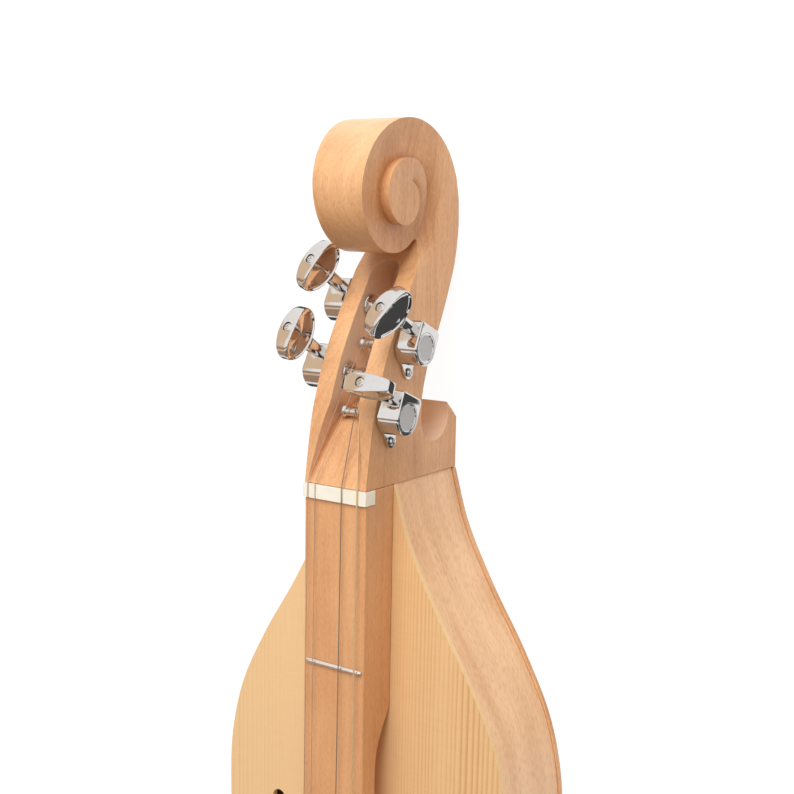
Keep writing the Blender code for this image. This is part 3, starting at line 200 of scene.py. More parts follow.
RUNOUT_FOOT_DEPTHS = ((650, 0.0051), (700, 0.0047), (740, 0.0040), (765, 0.0031), (778, 0.0012),
                      (790, -0.0004))
RUNOUT_RIDGES = ((290, -0.0007), (306, -0.0007), (322, -0.0002), (340, 0.0007), (360, 0.0013), (400, 0.0009),
                 (430, 0.0))

# Pegbox slot: distance from the nut, half width and floor height
SLOT_STATIONS = (
    (-0.0900, 0.0074, 0.0215), (-0.0740, 0.0074, 0.0285), (-0.0590, 0.0074, 0.0355),
    (-0.0470, 0.0075, 0.0400), (-0.0425, 0.0078, 0.0440), (-0.0395, 0.0085, 0.0492),
    (-0.0370, 0.0092, 0.0540), (-0.0345, 0.0098, 0.0580), (-0.0310, 0.0106, 0.0612),
    (-0.0260, 0.0117, 0.0640), (-0.0200, 0.0128, 0.0672), (-0.0130, 0.0141, 0.0703),
    (-0.0050, 0.0154, 0.0737),
)
SLOT_END_X = -0.1044
SLOT_HALF = 0.0074
SLOT_END_FLOOR = 0.0175

# Tuners: name and roll of the button in degrees; their places come from the frame's joints
TUNERS = (("melody_outer", 70.0), ("melody_inner", 84.0), ("middle", 60.0), ("bass", 2.0))
DRUM_RADIUS = 0.0080
DRUM_HEIGHT = 0.0114
TUNNEL_REACH = 0.0102
TUNNEL_BACK = 0.0080
TUNNEL_FRONT = 0.0076
BASE_THICKNESS = 0.0012
BOSS_RADIUS = 0.0031
BOSS_END = 0.0166
TAB_POINT = (-0.0062, -0.0098)
TAB_RADIUS = 0.0030
TAB_BASE_RADIUS = 0.0074
CAP_RADIUS = 0.0068
CAP_THICKNESS = 0.0012
CAP_RECESS = 0.0004
GEAR_CENTRES = 0.0062
GEAR_LEVEL = 0.0056
WHEEL_TEETH = 15
WHEEL_RADIUS = 0.0042
WHEEL_WIDTH = 0.0036
TOOTH_ADDENDUM = 0.0005
TOOTH_DEDENDUM = 0.0008
WORM_RADIUS = GEAR_CENTRES - WHEEL_RADIUS
WORM_PITCH = 2 * math.pi * WHEEL_RADIUS / WHEEL_TEETH
THREAD_REACH = WORM_PITCH * 3.5 / 2
SHAFT_RADIUS = 0.0016
SHAFT_BACK = -0.0064
SHAFT_END = 0.0290
POST_RADIUS = 0.0027
POST_WAIST = 0.0022
POST_FLARE = 0.0029
POST_TIP = 0.0234
SLEEVE_RADIUS = 0.0038
WASHER_RADIUS = 0.0054
WASHER_THICKNESS = 0.0008
HEX_RADIUS = 0.0046
HEX_HEIGHT = 0.0008

# Tuner buttons
BUTTON_START = 0.0186
BUTTON_DEPTH = 0.0140
BUTTON_LENGTH = 0.0246
BUTTON_THICKNESS = 0.0082
BUTTON_TAPER = 0.36
BUTTON_COLLAR_RADIUS = 0.0036
BUTTON_SCREW_RADIUS = 0.0021
BUTTON_SCREW_HEIGHT = 0.0010
BUTTON_SCREW_SEAT = BUTTON_START + BUTTON_DEPTH - BUTTON_SCREW_HEIGHT - 0.0002

# Strings: name, wire diameter, Y at the nut, Y at the bridge, Y where it leaves its post,
# winding loops, direction of the winding along Y, and the posts that it leans on (X, Y, Z)
STRINGS = (
    ("melody_outer", 0.00036, -0.0140, -0.0140, 0.0002, 2.4, 1, ((-0.0540, -0.0048, 0.0573),)),
    ("melody_inner", 0.00036, -0.0100, -0.0102, 0.0007, 2.4, -1, ()),
    ("middle", 0.00048, 0.0046, 0.0020, 0.0020, 2.4, 1, ((-0.0540, 0.0016, 0.0569),)),
    ("bass", 0.00070, 0.0130, 0.0128, 0.0045, 2.0, -1, ()),
)
WINDING_SPACE = 0.00046
WIRE_SPARE = 0.00008
NOTCH_SPARE = 0.00005
POINTS_PER_LOOP = 48
HITCH_PLATE = (0.0180, 0.0310, 0.0440, 0.0012)
PLATE_CORNER = 0.0030
PIN_REACH = 0.0050
PEG_RADIUS = 0.0012
PEG_HEAD_RADIUS = 0.0017
PEG_HEIGHTS = (0.0400, 0.0355, 0.0400, 0.0355)


def from_nut(x, y, z):
    """Point of the frame from a distance counted from the nut."""
    return Vector((NUT_X + x, y, z))


# Curves and solids

def smooth_through(points, steps):
    """Return a Catmull-Rom curve through the points, with so many steps to each stretch."""
    given = np.array(points, dtype=float)
    padded = np.vstack([2 * given[0] - given[1], given, 2 * given[-1] - given[-2]])
    curve = []
    for index in range(1, len(padded) - 2):
        p0, p1, p2, p3 = padded[index - 1:index + 3]
        for step in range(steps):
            t = step / steps
            curve.append(0.5 * (2 * p1 + (p2 - p0) * t + (2 * p0 - 5 * p1 + 4 * p2 - p3) * t ** 2
                                + (3 * p1 - p0 - 3 * p2 + p3) * t ** 3))
    curve.append(given[-1])
    return curve


def smooth_value(stations, place):
    """Read a smooth curve through (place, value) stations."""
    places = [station[0] for station in stations]
    values = [station[1] for station in stations]
    index = int(np.clip(np.searchsorted(places, place) - 1, 0, len(places) - 2))
    slopes = np.gradient(values, places)
    width = places[index + 1] - places[index]
    t = float(np.clip((place - places[index]) / width, 0.0, 1.0))
    low = (2 * t ** 3 - 3 * t ** 2 + 1) * values[index] + (t ** 3 - 2 * t ** 2 + t) * width * slopes[index]
    high = (3 * t ** 2 - 2 * t ** 3) * values[index + 1] + (t ** 3 - t ** 2) * width * slopes[index + 1]
    return low + high


def arc(centre, radius, start, end, steps):
    """Return points on a circle, angles in degrees."""
    angles = np.radians(np.linspace(start, end, steps + 1))
    return [(centre[0] + radius * math.cos(a), centre[1] + radius * math.sin(a)) for a in angles]


def prism(outline, low, high, place):
    """Return a closed prism; place maps (first, second, height) of the outline to a point."""
    shape = bmesh.new()
    bottom = [shape.verts.new(place(a, b, low)) for a, b in outline]
    top = [shape.verts.new(place(a, b, high)) for a, b in outline]
    shape.faces.new(bottom)
    shape.faces.new(list(reversed(top)))
    for index in range(len(outline)):
        after = (index + 1) % len(outline)
        shape.faces.new((bottom[index], top[index], top[after], bottom[after]))
    return shape


def side_view(first, second, height):
    """Map an outline drawn in side view, extruded across the instrument."""
    return from_nut(first, height, second)


def plan_view(first, second, height):
    """Map an outline drawn from above, extruded upwards."""
    return from_nut(first, second, height)


def end_view(first, second, height):
    """Map an outline drawn from the end, extruded along the instrument."""
    return from_nut(height, first, second)


def skin(shape, rings):
    """Close equal rings of vertices into one skin with ends."""
    count = len(rings[0])
    for lower, upper in zip(rings, rings[1:]):
        for index in range(count):
            after = (index + 1) % count
            shape.faces.new((lower[index], lower[after], upper[after], upper[index]))
    shape.faces.new(list(reversed(rings[0])))
    shape.faces.new(rings[-1])


def loft(rings):
    """Return a skin over a list of equal rings of points."""
    shape = bmesh.new()
    skin(shape, [[shape.verts.new(point) for point in ring] for ring in rings])
    return shape


def mirrored(edge):
    """Close an outline with its own mirror image across the instrument."""
    return edge + [(x, -half) for x, half in reversed(edge)]


def rectangle(x, half, low, high):
    """Outline of a rectangle in side view."""
    return [(x - half, low), (x + half, low), (x + half, high), (x - half, high)]


def circle(radius, sides):
    """Corners of a regular polygon round the origin."""
    angles = [2 * math.pi * step / sides for step in range(sides)]
    return [(radius * math.cos(a), radius * math.sin(a)) for a in angles]


def turned(profile, place, sides):
    """Revolve (distance along, radius) pairs; a zero radius closes on the axis."""
    shape = bmesh.new()
    rings = []
    for along, radius in profile:
        if radius < 1e-7:
            rings.append([shape.verts.new(place(along, 0.0, 0.0))])
            continue
        rings.append([shape.verts.new(place(along, a, b)) for a, b in circle(radius, sides)])
    pairs = list(zip(rings, rings[1:]))
    if len(rings[0]) > 1:
        pairs.append((rings[-1], rings[0]))
    for lower, upper in pairs:
        for step in range(sides):
            after = (step + 1) % sides
            if len(lower) == 1:
                shape.faces.new((lower[0], upper[after], upper[step]))
            elif len(upper) == 1:
                shape.faces.new((lower[step], lower[after], upper[0]))
            else:
                shape.faces.new((lower[step], lower[after], upper[after], upper[step]))
    return shape


def rounded(profile, radius, steps=4):
    """Round the corners of a turned profile, apart from its ends."""
    points = [Vector(point) for point in profile]
    result = [tuple(points[0])]
    for before, here, after in zip(points, points[1:], points[2:]):
        reach = min(radius, (before - here).length * 0.45, (after - here).length * 0.45)
        start = here + (before - here).normalized() * reach
        end = here + (after - here).normalized() * reach
        for step in range(steps + 1):
            t = step / steps
            point = start * (1 - t) ** 2 + here * 2 * t * (1 - t) + end * t ** 2
            result.append((point.x, point.y))
    result.append(tuple(points[-1]))
    return result


def as_object(name, shape):
    """Turn a bmesh into an object."""
    bmesh.ops.recalc_face_normals(shape, faces=shape.faces)
    mesh = bpy.data.meshes.new(name)
    shape.to_mesh(mesh)
    shape.free()
    obj = bpy.data.objects.new(name, mesh)
    bpy.context.scene.collection.objects.link(obj)
    return obj


def carve(obj, cutters):
    """Cut from an object, or join to it, each (operation, bmesh) in turn, and keep the result."""
    others = []
    for number, (operation, shape) in enumerate(cutters):
        other = as_object(f"{obj.name}_tool_{number}", shape)
        modifier = obj.modifiers.new(other.name, "BOOLEAN")
        modifier.operation = operation
        modifier.solver = "EXACT"
        modifier.object = other
        others.append(other)
    graph = bpy.context.evaluated_depsgraph_get()
    made = bpy.data.meshes.new_from_object(obj.evaluated_get(graph))
    obj.modifiers.clear()
    old = obj.data
    obj.data = made
    bpy.data.meshes.remove(old)
    for other in others:
        mesh = other.data
        bpy.data.objects.remove(other, do_unlink=True)
        bpy.data.meshes.remove(mesh)
    made.name = obj.name


def soften(obj, width, segments, angle):
    """Round the sharp edges of an object."""
    bevel = obj.modifiers.new("soft_edges", "BEVEL")
    bevel.width = width
    bevel.segments = segments
    bevel.limit_method = "ANGLE"
    bevel.angle_limit = math.radians(angle)
    bevel.use_clamp_overlap = True
    bevel.harden_normals = True


def make_piece(name, shape, material, node, body=BODY, tools=(), edges=None, smooth_angle=32.0):
    """Make one piece of a bmesh and let it ride on a body in a node's place.

    Tools are cut from it or joined to it; edges are the width, segments and least angle of its rounding.
    """
    obj = as_object(name, shape)
    if tools:
        carve(obj, tools)
    if edges:
        soften(obj, *edges)
    obj.data.materials.clear()
    obj.data.materials.append(MATERIALS[material])
    obj.data.shade_smooth()
    obj.data.set_sharp_from_angle(angle=math.radians(smooth_angle))
    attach(obj, body)
    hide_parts(node)
    return obj


# Materials

class Graph:
    """The node tree of a material or a world, with short calls for the nodes in use."""

    def __init__(self, owner):
        self.owner = owner
        owner.use_nodes = True
        self.tree = owner.node_tree

    def add(self, kind, inputs=(), **settings):
        """Add a node; inputs are (socket, value or socket to link) pairs."""
        made = self.tree.nodes.new(kind)
        for key, value in settings.items():
            setattr(made, key, value)
        for socket, value in inputs:
            self.feed(made.inputs[socket], value)
        return made

    def feed(self, socket, value):
        """Set a socket, or link another socket to it; a colour is three numbers."""
        if isinstance(value, bpy.types.NodeSocket):
            self.tree.links.new(value, socket)
        else:
            socket.default_value = (*value, 1.0) if socket.type == "RGBA" else value

    def place(self, kind="Object"):
        """Coordinates in metres, or the direction where they are a world's."""
        return self.add("ShaderNodeTexCoord").outputs[kind]

    def split(self, vector):
        """X, Y and Z of a vector."""
        return self.add("ShaderNodeSeparateXYZ", ((0, vector),)).outputs

    def number(self, operation, *values):
        """Result of a math node."""
        return self.add("ShaderNodeMath", enumerate(values), operation=operation).outputs[0]

    def chain(self, operation, first, *others):
        """Result of the same math on several values in turn."""
        for other in others:
            first = self.number(operation, first, other)
        return first

    def distance(self, first, second):
        """Distance from the origin of two values."""
        squares = [self.number("MULTIPLY", value, value) for value in (first, second)]
        return self.number("SQRT", self.number("ADD", *squares))

    def noise(self, place, stretch, detail=2.0, roughness=0.5, shift=(0.0, 0.0, 0.0)):
        """Noise from 0 to 1; stretch counts its waves in each metre."""
        mapped = self.add("ShaderNodeMapping", (("Vector", place), ("Scale", stretch), ("Location", shift)))
        node = self.add("ShaderNodeTexNoise", (("Vector", mapped.outputs["Vector"]), ("Scale", 1.0),
                                               ("Detail", detail), ("Roughness", roughness)))
        return node.outputs["Fac"]

    def ramp(self, value, stops):
        """Colour ramp; stops are (place, colour or grey) pairs."""
        node = self.add("ShaderNodeValToRGB", ((0, value),))
        while len(node.color_ramp.elements) < len(stops):
            node.color_ramp.elements.new(0.5)
        for element, (place, shade) in zip(node.color_ramp.elements, stops):
            element.position = place
            element.color = (shade, shade, shade, 1.0) if isinstance(shade, float) else (*shade, 1.0)
        return node.outputs["Color"]

    def spread(self, value, low, high, new_low=0.0, new_high=1.0, kind="LINEAR"):
        """Map a value from one range to another, held at its ends."""
        inputs = (("Value", value), ("From Min", low), ("From Max", high), ("To Min", new_low),
                  ("To Max", new_high))
        return self.add("ShaderNodeMapRange", inputs, interpolation_type=kind).outputs["Result"]

    def step(self, value, low, high, new_low=0.0, new_high=1.0):
        """Smooth change of a value between two places."""
        return self.spread(value, low, high, new_low, new_high, "SMOOTHSTEP")

    def window(self, value, rise, fall, height=1.0):
        """Smooth plateau between a stretch where it rises and one where it falls."""
        risen = self.step(value, *rise, 0.0, height)
        return self.number("MULTIPLY", risen, self.step(value, *fall, 1.0, 0.0))

    def mix(self, factor, first, second):
        """Mix two colours."""
        inputs = (("Factor", factor), (6, first), (7, second))
        return self.add("ShaderNodeMix", inputs, data_type="RGBA").outputs[2]

    def mix_shaders(self, factor, first, second):
        """Mix two shaders."""
        return self.add("ShaderNodeMixShader", ((0, factor), (1, first), (2, second))).outputs[0]

    def seen(self, *kinds):
        """One for any of these kinds of ray, and zero for the others."""
        path = self.add("ShaderNodeLightPath").outputs
        return self.chain("MAXIMUM", *[path[kind] for kind in kinds])

    def bump(self, height, strength, distance):
        """Bump from a height."""
        inputs = (("Height", height), ("Strength", strength), ("Distance", distance))
        return self.add("ShaderNodeBump", inputs).outputs["Normal"]

    def finish(self, **inputs):
        """Set the shader's sockets; an underscore in a name stands for a space."""
        shader = self.tree.nodes["Principled BSDF"]
        for name, value in inputs.items():
            self.feed(shader.inputs[name.replace("_", " ")], value)
        return self.owner


def colour(red, green, blue):
    """Linear colour from the 0 to 255 values that it shows as."""
    shown = [value / 255 for value in (red, green, blue)]
    return tuple(v / 12.92 if v <= 0.04045 else ((v + 0.055) / 1.055) ** 2.4 for v in shown)


def scaled(shade, *factors):
    """Colour times one factor, or times one for each of red, green and blue, and never over 1."""
    return tuple(min(1.0, value * factor) for value, factor in zip(shade, factors * (3 // len(factors))))


def painted_recess_shade(graph, place):
    """Painted shade: a darker tone in the scroll's channel and in the inner corners, where shade falls."""
    x, y, z = graph.split(place)
    centre = from_nut(SCROLL_CENTRE[0], 0.0, SCROLL_CENTRE[1])
    reach = graph.distance(graph.number("SUBTRACT", x, centre.x), graph.number("SUBTRACT", z, centre.z))
    near = graph.spread(reach, *CHANNEL_SHADE_REACH, CHANNEL_SHADE_TONE, 0.0)
    depth = graph.spread(graph.number("ABSOLUTE", y), HALF - 0.0045, HALF - 0.0010, 1.0, 0.0)
    normal = graph.split(graph.add("ShaderNodeNewGeometry").outputs["Normal"])
    sideways = graph.spread(graph.number("ABSOLUTE", normal[1]), 0.4, 0.8)
    # Painted shade in the corners, darker the more hidden a point is
    corner = graph.add("ShaderNodeAmbientOcclusion", (("Distance", CORNER_SHADE_REACH),), samples=8,
                       only_local=True).outputs["AO"]
    channel = graph.chain("MULTIPLY", near, sideways, depth)
    return graph.number("ADD", channel, graph.spread(corner, 0.40, 0.90, 1.0, 0.0))


def growth_rings(graph, place, rings):
    """Late wood of rings round a far centre; rings are its Y and Z and their width."""
    _, y, z = graph.split(place)
    distance = graph.distance(graph.number("SUBTRACT", y, rings[0]), graph.number("SUBTRACT", z, rings[1]))
    drift = graph.number("MULTIPLY", graph.noise(place, (7.0, 26.0, 26.0)), 5.0)
    phase = graph.number("MULTIPLY_ADD", distance, 1 / rings[2], drift)
    phase = graph.number("MULTIPLY_ADD", graph.noise(place, (2.0, 110.0, 110.0)), 2.6, phase)
    late = graph.ramp(graph.number("FRACT", phase),
                      ((0.0, 0.20), (0.12, 0.0), (0.55, 0.25), (0.88, 0.80), (0.97, 1.0), (1.0, 0.22)))
    weight = graph.noise(place, (4.0, 60.0, 60.0), 1.0, shift=(7.0, 1.0, 2.0))
    return graph.number("MULTIPLY", late, graph.spread(weight, 0.35, 0.65, 0.04, 0.26))


def make_hardwood(name, light, dark, rings, grain=None, fleck=0.5, fleck_size=1.0, dense=0.0, tilt=0.0,
                  bands=(0.05, 0.55), roughness=0.42, coat=0.28, shade_recesses=False):
    """Close-grained hardwood: growth rings, broad bands, fine fibres and short ray flecks.

    Grain names coordinates that are kept on the mesh; tilt slants the flecks.
    """
    graph = Graph(bpy.data.materials.new(name))
    place = graph.place()
    if grain:
        place = graph.add("ShaderNodeAttribute", attribute_name=grain).outputs["Vector"]
    broad = graph.noise(place, (5.0, 60.0, 60.0), 3.0, 0.55, (3.1, 0.0, 1.7))
    fibres = graph.noise(place, (70.0, 1700.0, 1700.0), 3.0, 0.65)
    mottle = graph.noise(place, (26.0, 26.0, 26.0), 3.0)
    tone = graph.chain("ADD", growth_rings(graph, place, rings), graph.spread(broad, 0.30, 0.70, *bands),
                       graph.spread(fibres, 0.30, 0.70, -0.13, 0.17),
                       graph.spread(mottle, 0.35, 0.65, -0.12, 0.16))
    # Painted shade in the scroll's channel and in the inner corners
    if shade_recesses:
        tone = graph.number("ADD", tone, painted_recess_shade(graph, place))
    base = graph.ramp(tone, ((0.0, light), (1.0, dark)))
    slanted = graph.add("ShaderNodeVectorRotate", (("Vector", place), ("Angle", tilt)),
                        rotation_type="Y_AXIS").outputs[0]
    stretch = (480.0 / fleck_size, 1900.0 / fleck_size, 1900.0 / fleck_size)
    flecks = graph.noise(slanted, stretch, 1.5, shift=(0.0, 4.0, 9.0))
    fleck_mask = graph.spread(flecks, 0.57 - dense, 0.70 - dense / 2, 0.0, fleck)
    glints = graph.spread(flecks, 0.42 + dense, 0.32 + dense / 2, 0.0, fleck * 0.7)
    base = graph.mix(fleck_mask, base, scaled(dark, 0.74))
    base = graph.mix(glints, base, scaled(light, 1.16))
    height = graph.number("SUBTRACT", fibres, graph.number("MULTIPLY", fleck_mask, 0.8))
    shine = graph.spread(fibres, 0.3, 0.7, roughness - 0.05, roughness + 0.07)
    return graph.finish(Base_Color=base, Roughness=shine, Normal=graph.bump(height, 0.30, 0.00004),
                        Coat_Weight=coat, Coat_Roughness=0.30)


def make_spruce(name, light, dark):
    """Quarter-sawn spruce: fine straight lines that widen outwards, with silk across them."""
    graph = Graph(bpy.data.materials.new(name))
    place = graph.place()
    y = graph.split(place)[1]
    outward = graph.number("ABSOLUTE", y)
    phase = graph.number("MULTIPLY", graph.number("POWER", outward, 0.45), 175.0)
    phase = graph.number("MULTIPLY_ADD", graph.noise(place, (1.6, 90.0, 0.0)), 1.8, phase)
    phase = graph.number("ADD", graph.noise(place, (5.0, 8.0, 0.0), 1.0), phase)
    late = graph.ramp(graph.number("FRACT", phase),
                      ((0.0, 0.05), (0.45, 0.08), (0.80, 0.75), (0.93, 1.0), (1.0, 0.10)))
    strength = graph.noise(place, (0.8, 60.0, 0.0), 1.0, shift=(5.0, 2.0, 0.0))
    lines = graph.chain("MULTIPLY", late, graph.spread(strength, 0.3, 0.7, 0.12, 0.78),
                        graph.spread(y, -0.02, 0.02, 0.30, 1.0),
                        graph.spread(outward, 0.018, 0.046, 0.4, 1.0))
    tone = graph.number("ADD", lines, graph.spread(y, -0.02, 0.022, 0.0, 0.20))
    # Painted light: the grain lines fade on faces that turn away from up, so the plate's edges show paler
    # than their light gives
    upward = graph.split(graph.add("ShaderNodeNewGeometry").outputs["Normal"])[2]
    tone = graph.number("MULTIPLY", tone, graph.spread(upward, 0.55, 0.92, 0.12, 1.0))
    silk = graph.noise(place, (900.0, 90.0, 90.0), 2.0, 0.6)
    fibres = graph.noise(place, (40.0, 2200.0, 2200.0), 2.0, 0.6)
    tone = graph.chain("ADD", tone, graph.spread(silk, 0.35, 0.65, -0.03, 0.03),
                       graph.spread(fibres, 0.3, 0.7, -0.08, 0.08))
    base = graph.ramp(tone, ((0.0, light), (1.0, dark)))
    normal = graph.bump(graph.number("ADD", fibres, graph.number("MULTIPLY", late, 0.6)), 0.22, 0.00004)
    shine = graph.spread(late, 0.0, 1.0, 0.44, 0.36)
    return graph.finish(Base_Color=base, Roughness=shine, Normal=normal, Coat_Weight=0.10,
                        Coat_Roughness=0.30)


def make_metal(name, shade, roughness):
    """Metal with faint uneven polish."""
    graph = Graph(bpy.data.materials.new(name))
    uneven = graph.noise(graph.place(), (260.0, 260.0, 260.0), 3.0, 0.6)
    base = graph.ramp(uneven, ((0.35, shade), (0.70, scaled(shade, 0.95))))
    shine = graph.spread(uneven, 0.3, 0.7, roughness * 0.8, roughness * 1.3)
    return graph.finish(Base_Color=base, Roughness=shine, Metallic=1.0)


def make_satin(name, shade):
    """Satin grey metal paint with a fine grain."""
    graph = Graph(bpy.data.materials.new(name))
    grain = graph.noise(graph.place(), (2500.0, 2500.0, 2500.0))
    base = graph.ramp(grain, ((0.35, shade), (0.65, scaled(shade, 0.92))))
    normal = graph.bump(grain, 0.12, 0.00002)
    return graph.finish(Base_Color=base, Roughness=0.45, Metallic=0.25, Normal=normal)


def make_wound(name, shade, groove_painted_shade, pitch):
    """Wrap wire of a wound string, drawn across its length, with painted shade in the grooves between the
    wraps.
    """
    graph = Graph(bpy.data.materials.new(name))
    along = graph.split(graph.place())[0]
    wave = graph.number("SINE", graph.number("MULTIPLY", along, 2 * math.pi / pitch))
    base = graph.ramp(graph.spread(wave, -1.0, 1.0), ((0.0, groove_painted_shade), (0.45, shade)))
    return graph.finish(Base_Color=base, Roughness=0.38, Metallic=0.75, Normal=graph.bump(wave, 0.5, 0.00004))


def make_bone(name, shade):
    """Polished ivory-white bone with faint pores along it."""
    graph = Graph(bpy.data.materials.new(name))
    place = graph.place()
    pores = graph.noise(place, (900.0, 160.0, 900.0), 3.0, 0.6)
    cloud = graph.noise(place, (120.0, 90.0, 120.0))
    yellower = scaled(shade, 0.97, 0.93, 0.84)
    base = graph.ramp(graph.number("MULTIPLY", pores, cloud), ((0.10, shade), (0.45, yellower)))
    return graph.finish(Base_Color=base, Roughness=0.32, Normal=graph.bump(pores, 0.15, 0.00003),
                        Subsurface_Weight=0.15, Subsurface_Scale=0.0012)


def make_materials():
    """Return the finish of every slot, and the extra ones."""
    head_rings = (0.045, 0.14, 0.0034)
    woods = {
        # The head's wood has painted shade in the scroll's channel and in its inner corners
        "hardwood": ((237, 184, 133), (197, 135, 87), head_rings, {"fleck": 0.34, "shade_recesses": True}),
        "rib_wood": ((252, 208, 163), (224, 169, 123), (0.06, 0.09, 0.0085),
                     {"grain": "grain", "fleck": 0.34, "fleck_size": 1.6, "dense": 0.05,
                      "tilt": math.radians(14.0), "bands": (-0.10, 0.75)}),
        # Paler copy of the head's wood: painted light for the shaded faces of the slot and the notch
        "painted_light_wood": ((250, 216, 184), (235, 193, 157), head_rings, {"fleck": 0.25, "coat": 0.3}),
        "board_wood": ((232, 175, 124), (206, 143, 94), (0.05, 0.16, 0.0042), {"fleck": 0.35}),
        "inner_wood": ((222, 184, 138), (190, 146, 98), (0.03, 0.09, 0.0028),
                       {"roughness": 0.7, "coat": 0.0}),
    }
    metals = {
        "chrome": ((0.76, 0.74, 0.72), 0.05), "fret_silver": ((0.88, 0.86, 0.83), 0.12),
        "gear_brass": ((0.72, 0.52, 0.24), 0.28), "string_steel": ((0.44, 0.36, 0.30), 0.34),
        "thin_steel": ((0.80, 0.62, 0.48), 0.42),
    }
    made = {name: make_hardwood(name, colour(*light), colour(*dark), rings, **more)
            for name, (light, dark, rings, more) in woods.items()}
    made.update({name: make_metal(name, *look) for name, look in metals.items()})
    made["spruce"] = make_spruce("spruce", colour(242, 203, 151), colour(208, 146, 84))
    made["bone"] = make_bone("bone", colour(246, 241, 229))
    made["cap_grey"] = make_satin("cap_grey", (0.60, 0.60, 0.61))
    made["string_bronze"] = make_wound("string_bronze", (0.96, 0.76, 0.46), (0.66, 0.45, 0.22), 0.00032)
    return made


# Body

def body_half_width(x):
    """Half width of the soundboard and back at a distance from the nut."""
    return smooth_value(BODY_OUTLINE, x)


def offset_outline(stations, inset):
    """Return the body's edge moved inwards, as (x, half width), square to the edge."""
    points = []
    for x in stations:
        slope = (body_half_width(x + 1e-4) - body_half_width(x - 1e-4)) / 2e-4
        points.append((x, body_half_width(x) - inset * math.hypot(1.0, slope)))
    return points


def plate_outline():
    """Closed outline of the soundboard and of the back."""
    start = HEAD_FACE_X + GAP
    edge = [(x, body_half_width(x)) for x in np.linspace(start, TAIL_X, 190)]
    edge[0] = (start, HALF)
    return mirrored(edge)


def sound_hole_cutters(x, y, tilt):
    """Cutters of one f-hole: a swung stem and its two round eyes."""
    side = 1 if y > 0 else -1
    turn = math.radians(tilt) * side

    def place(along, across, height):
        across *= side
        return from_nut(x + along * math.cos(turn) - across * math.sin(turn),
                        y + along * math.sin(turn) + across * math.cos(turn), height)

    reach = HOLE_LENGTH / 2 - HOLE_EYE_RADIUS
    left, right = [], []
    steps = 44
    for step in range(steps + 1):
        phase = 2 * step / steps - 1
        along = reach * math.sin(phase * math.pi / 2) * 0.92
        across = -HOLE_SWING * math.sin(phase * math.pi * 0.82)
        width = HOLE_TIP + (HOLE_STEM - HOLE_TIP) * (1 - abs(phase)) ** 0.8
        left.append((along, across - width / 2))
        right.append((along, across + width / 2))
    low, high = BODY_DEPTH - SOUNDBOARD_THICKNESS - OVERCUT, BODY_DEPTH + OVERCUT
    cutters = [(CUT, prism(left + list(reversed(right)), low, high, place))]
    for end in (-1, 1):
        centre = (end * (reach - 0.0016), end * 0.0012)
        cutters.append((CUT, prism(arc(centre, HOLE_EYE_RADIUS, 0, 352, 44), low, high, place)))
    return cutters


def build_plates():
    """Spruce top with its f-holes, and the hardwood back."""
    outline = plate_outline()
    holes = [cutter for x, y, tilt in SOUND_HOLES for side in (-1, 1)
             for cutter in sound_hole_cutters(x, side * y, tilt)]
    make_piece("spruce_top", prism(outline, BODY_DEPTH - SOUNDBOARD_THICKNESS, BODY_DEPTH, plan_view),
               "spruce", "soundboard", tools=holes, edges=(0.0006, 3, 50))
    make_piece("hardwood_back", prism(outline, 0.0, BACK_THICKNESS, plan_view), "hardwood", "back_plate",
               edges=(0.0007, 3, 50))


def build_ribs():
    """Two bent ribs, whose grain follows the bend."""
    low, high = RIB_LEVELS
    stations = np.linspace(HEAD_FACE_X + GAP, TAIL_X, 200)
    outer = offset_outline(stations, PLATE_OVERHANG)
    inner = offset_outline(stations, PLATE_OVERHANG + RIB_THICKNESS)
    lengths = [0.0]
    for before, after in zip(outer, outer[1:]):
        lengths.append(lengths[-1] + math.dist(before, after))
    for side, label in ((-1, "melody"), (1, "bass")):
        shape = bmesh.new()
        grain = shape.verts.layers.float_vector.new("grain")
        rings = []
        for (x, out), (_, inn), length in zip(outer, inner, lengths):
            corners = ((out, low, 0.0), (out, high, 0.0), (inn, high, RIB_THICKNESS),
                       (inn, low, RIB_THICKNESS))
            ring = []
            for across, height, depth in corners:
                vert = shape.verts.new(from_nut(x, side * across, height))
                vert[grain] = Vector((length + side, depth, height))
                ring.append(vert)
            rings.append(ring)
        skin(shape, rings)
        make_piece(f"bent_rib_{label}", shape, "rib_wood", f"rib_{label}", edges=(0.0003, 2, 50))


# Fretboard, frets, nut and bridge

def arch_curve(start, end):
    """Underside of one arch: a quick rise in an S, a long flat and the same fall."""
    base = BODY_DEPTH + GAP
    rise = []
    for t in np.linspace(0, 1, 28):
        rise.append((start + ARCH_SWEEP * t, base + ARCH_HEIGHT * (1 - (1 - t) ** 2.4) ** 1.3))
    return rise + [(start + end - x, z) for x, z in reversed(rise)]


def fret_places():
    """Distance of each fret from the nut on a diatonic scale."""
    return [SCALE_LENGTH * (1 - 2 ** (-semitone / 12)) for semitone in FRET_SEMITONES]


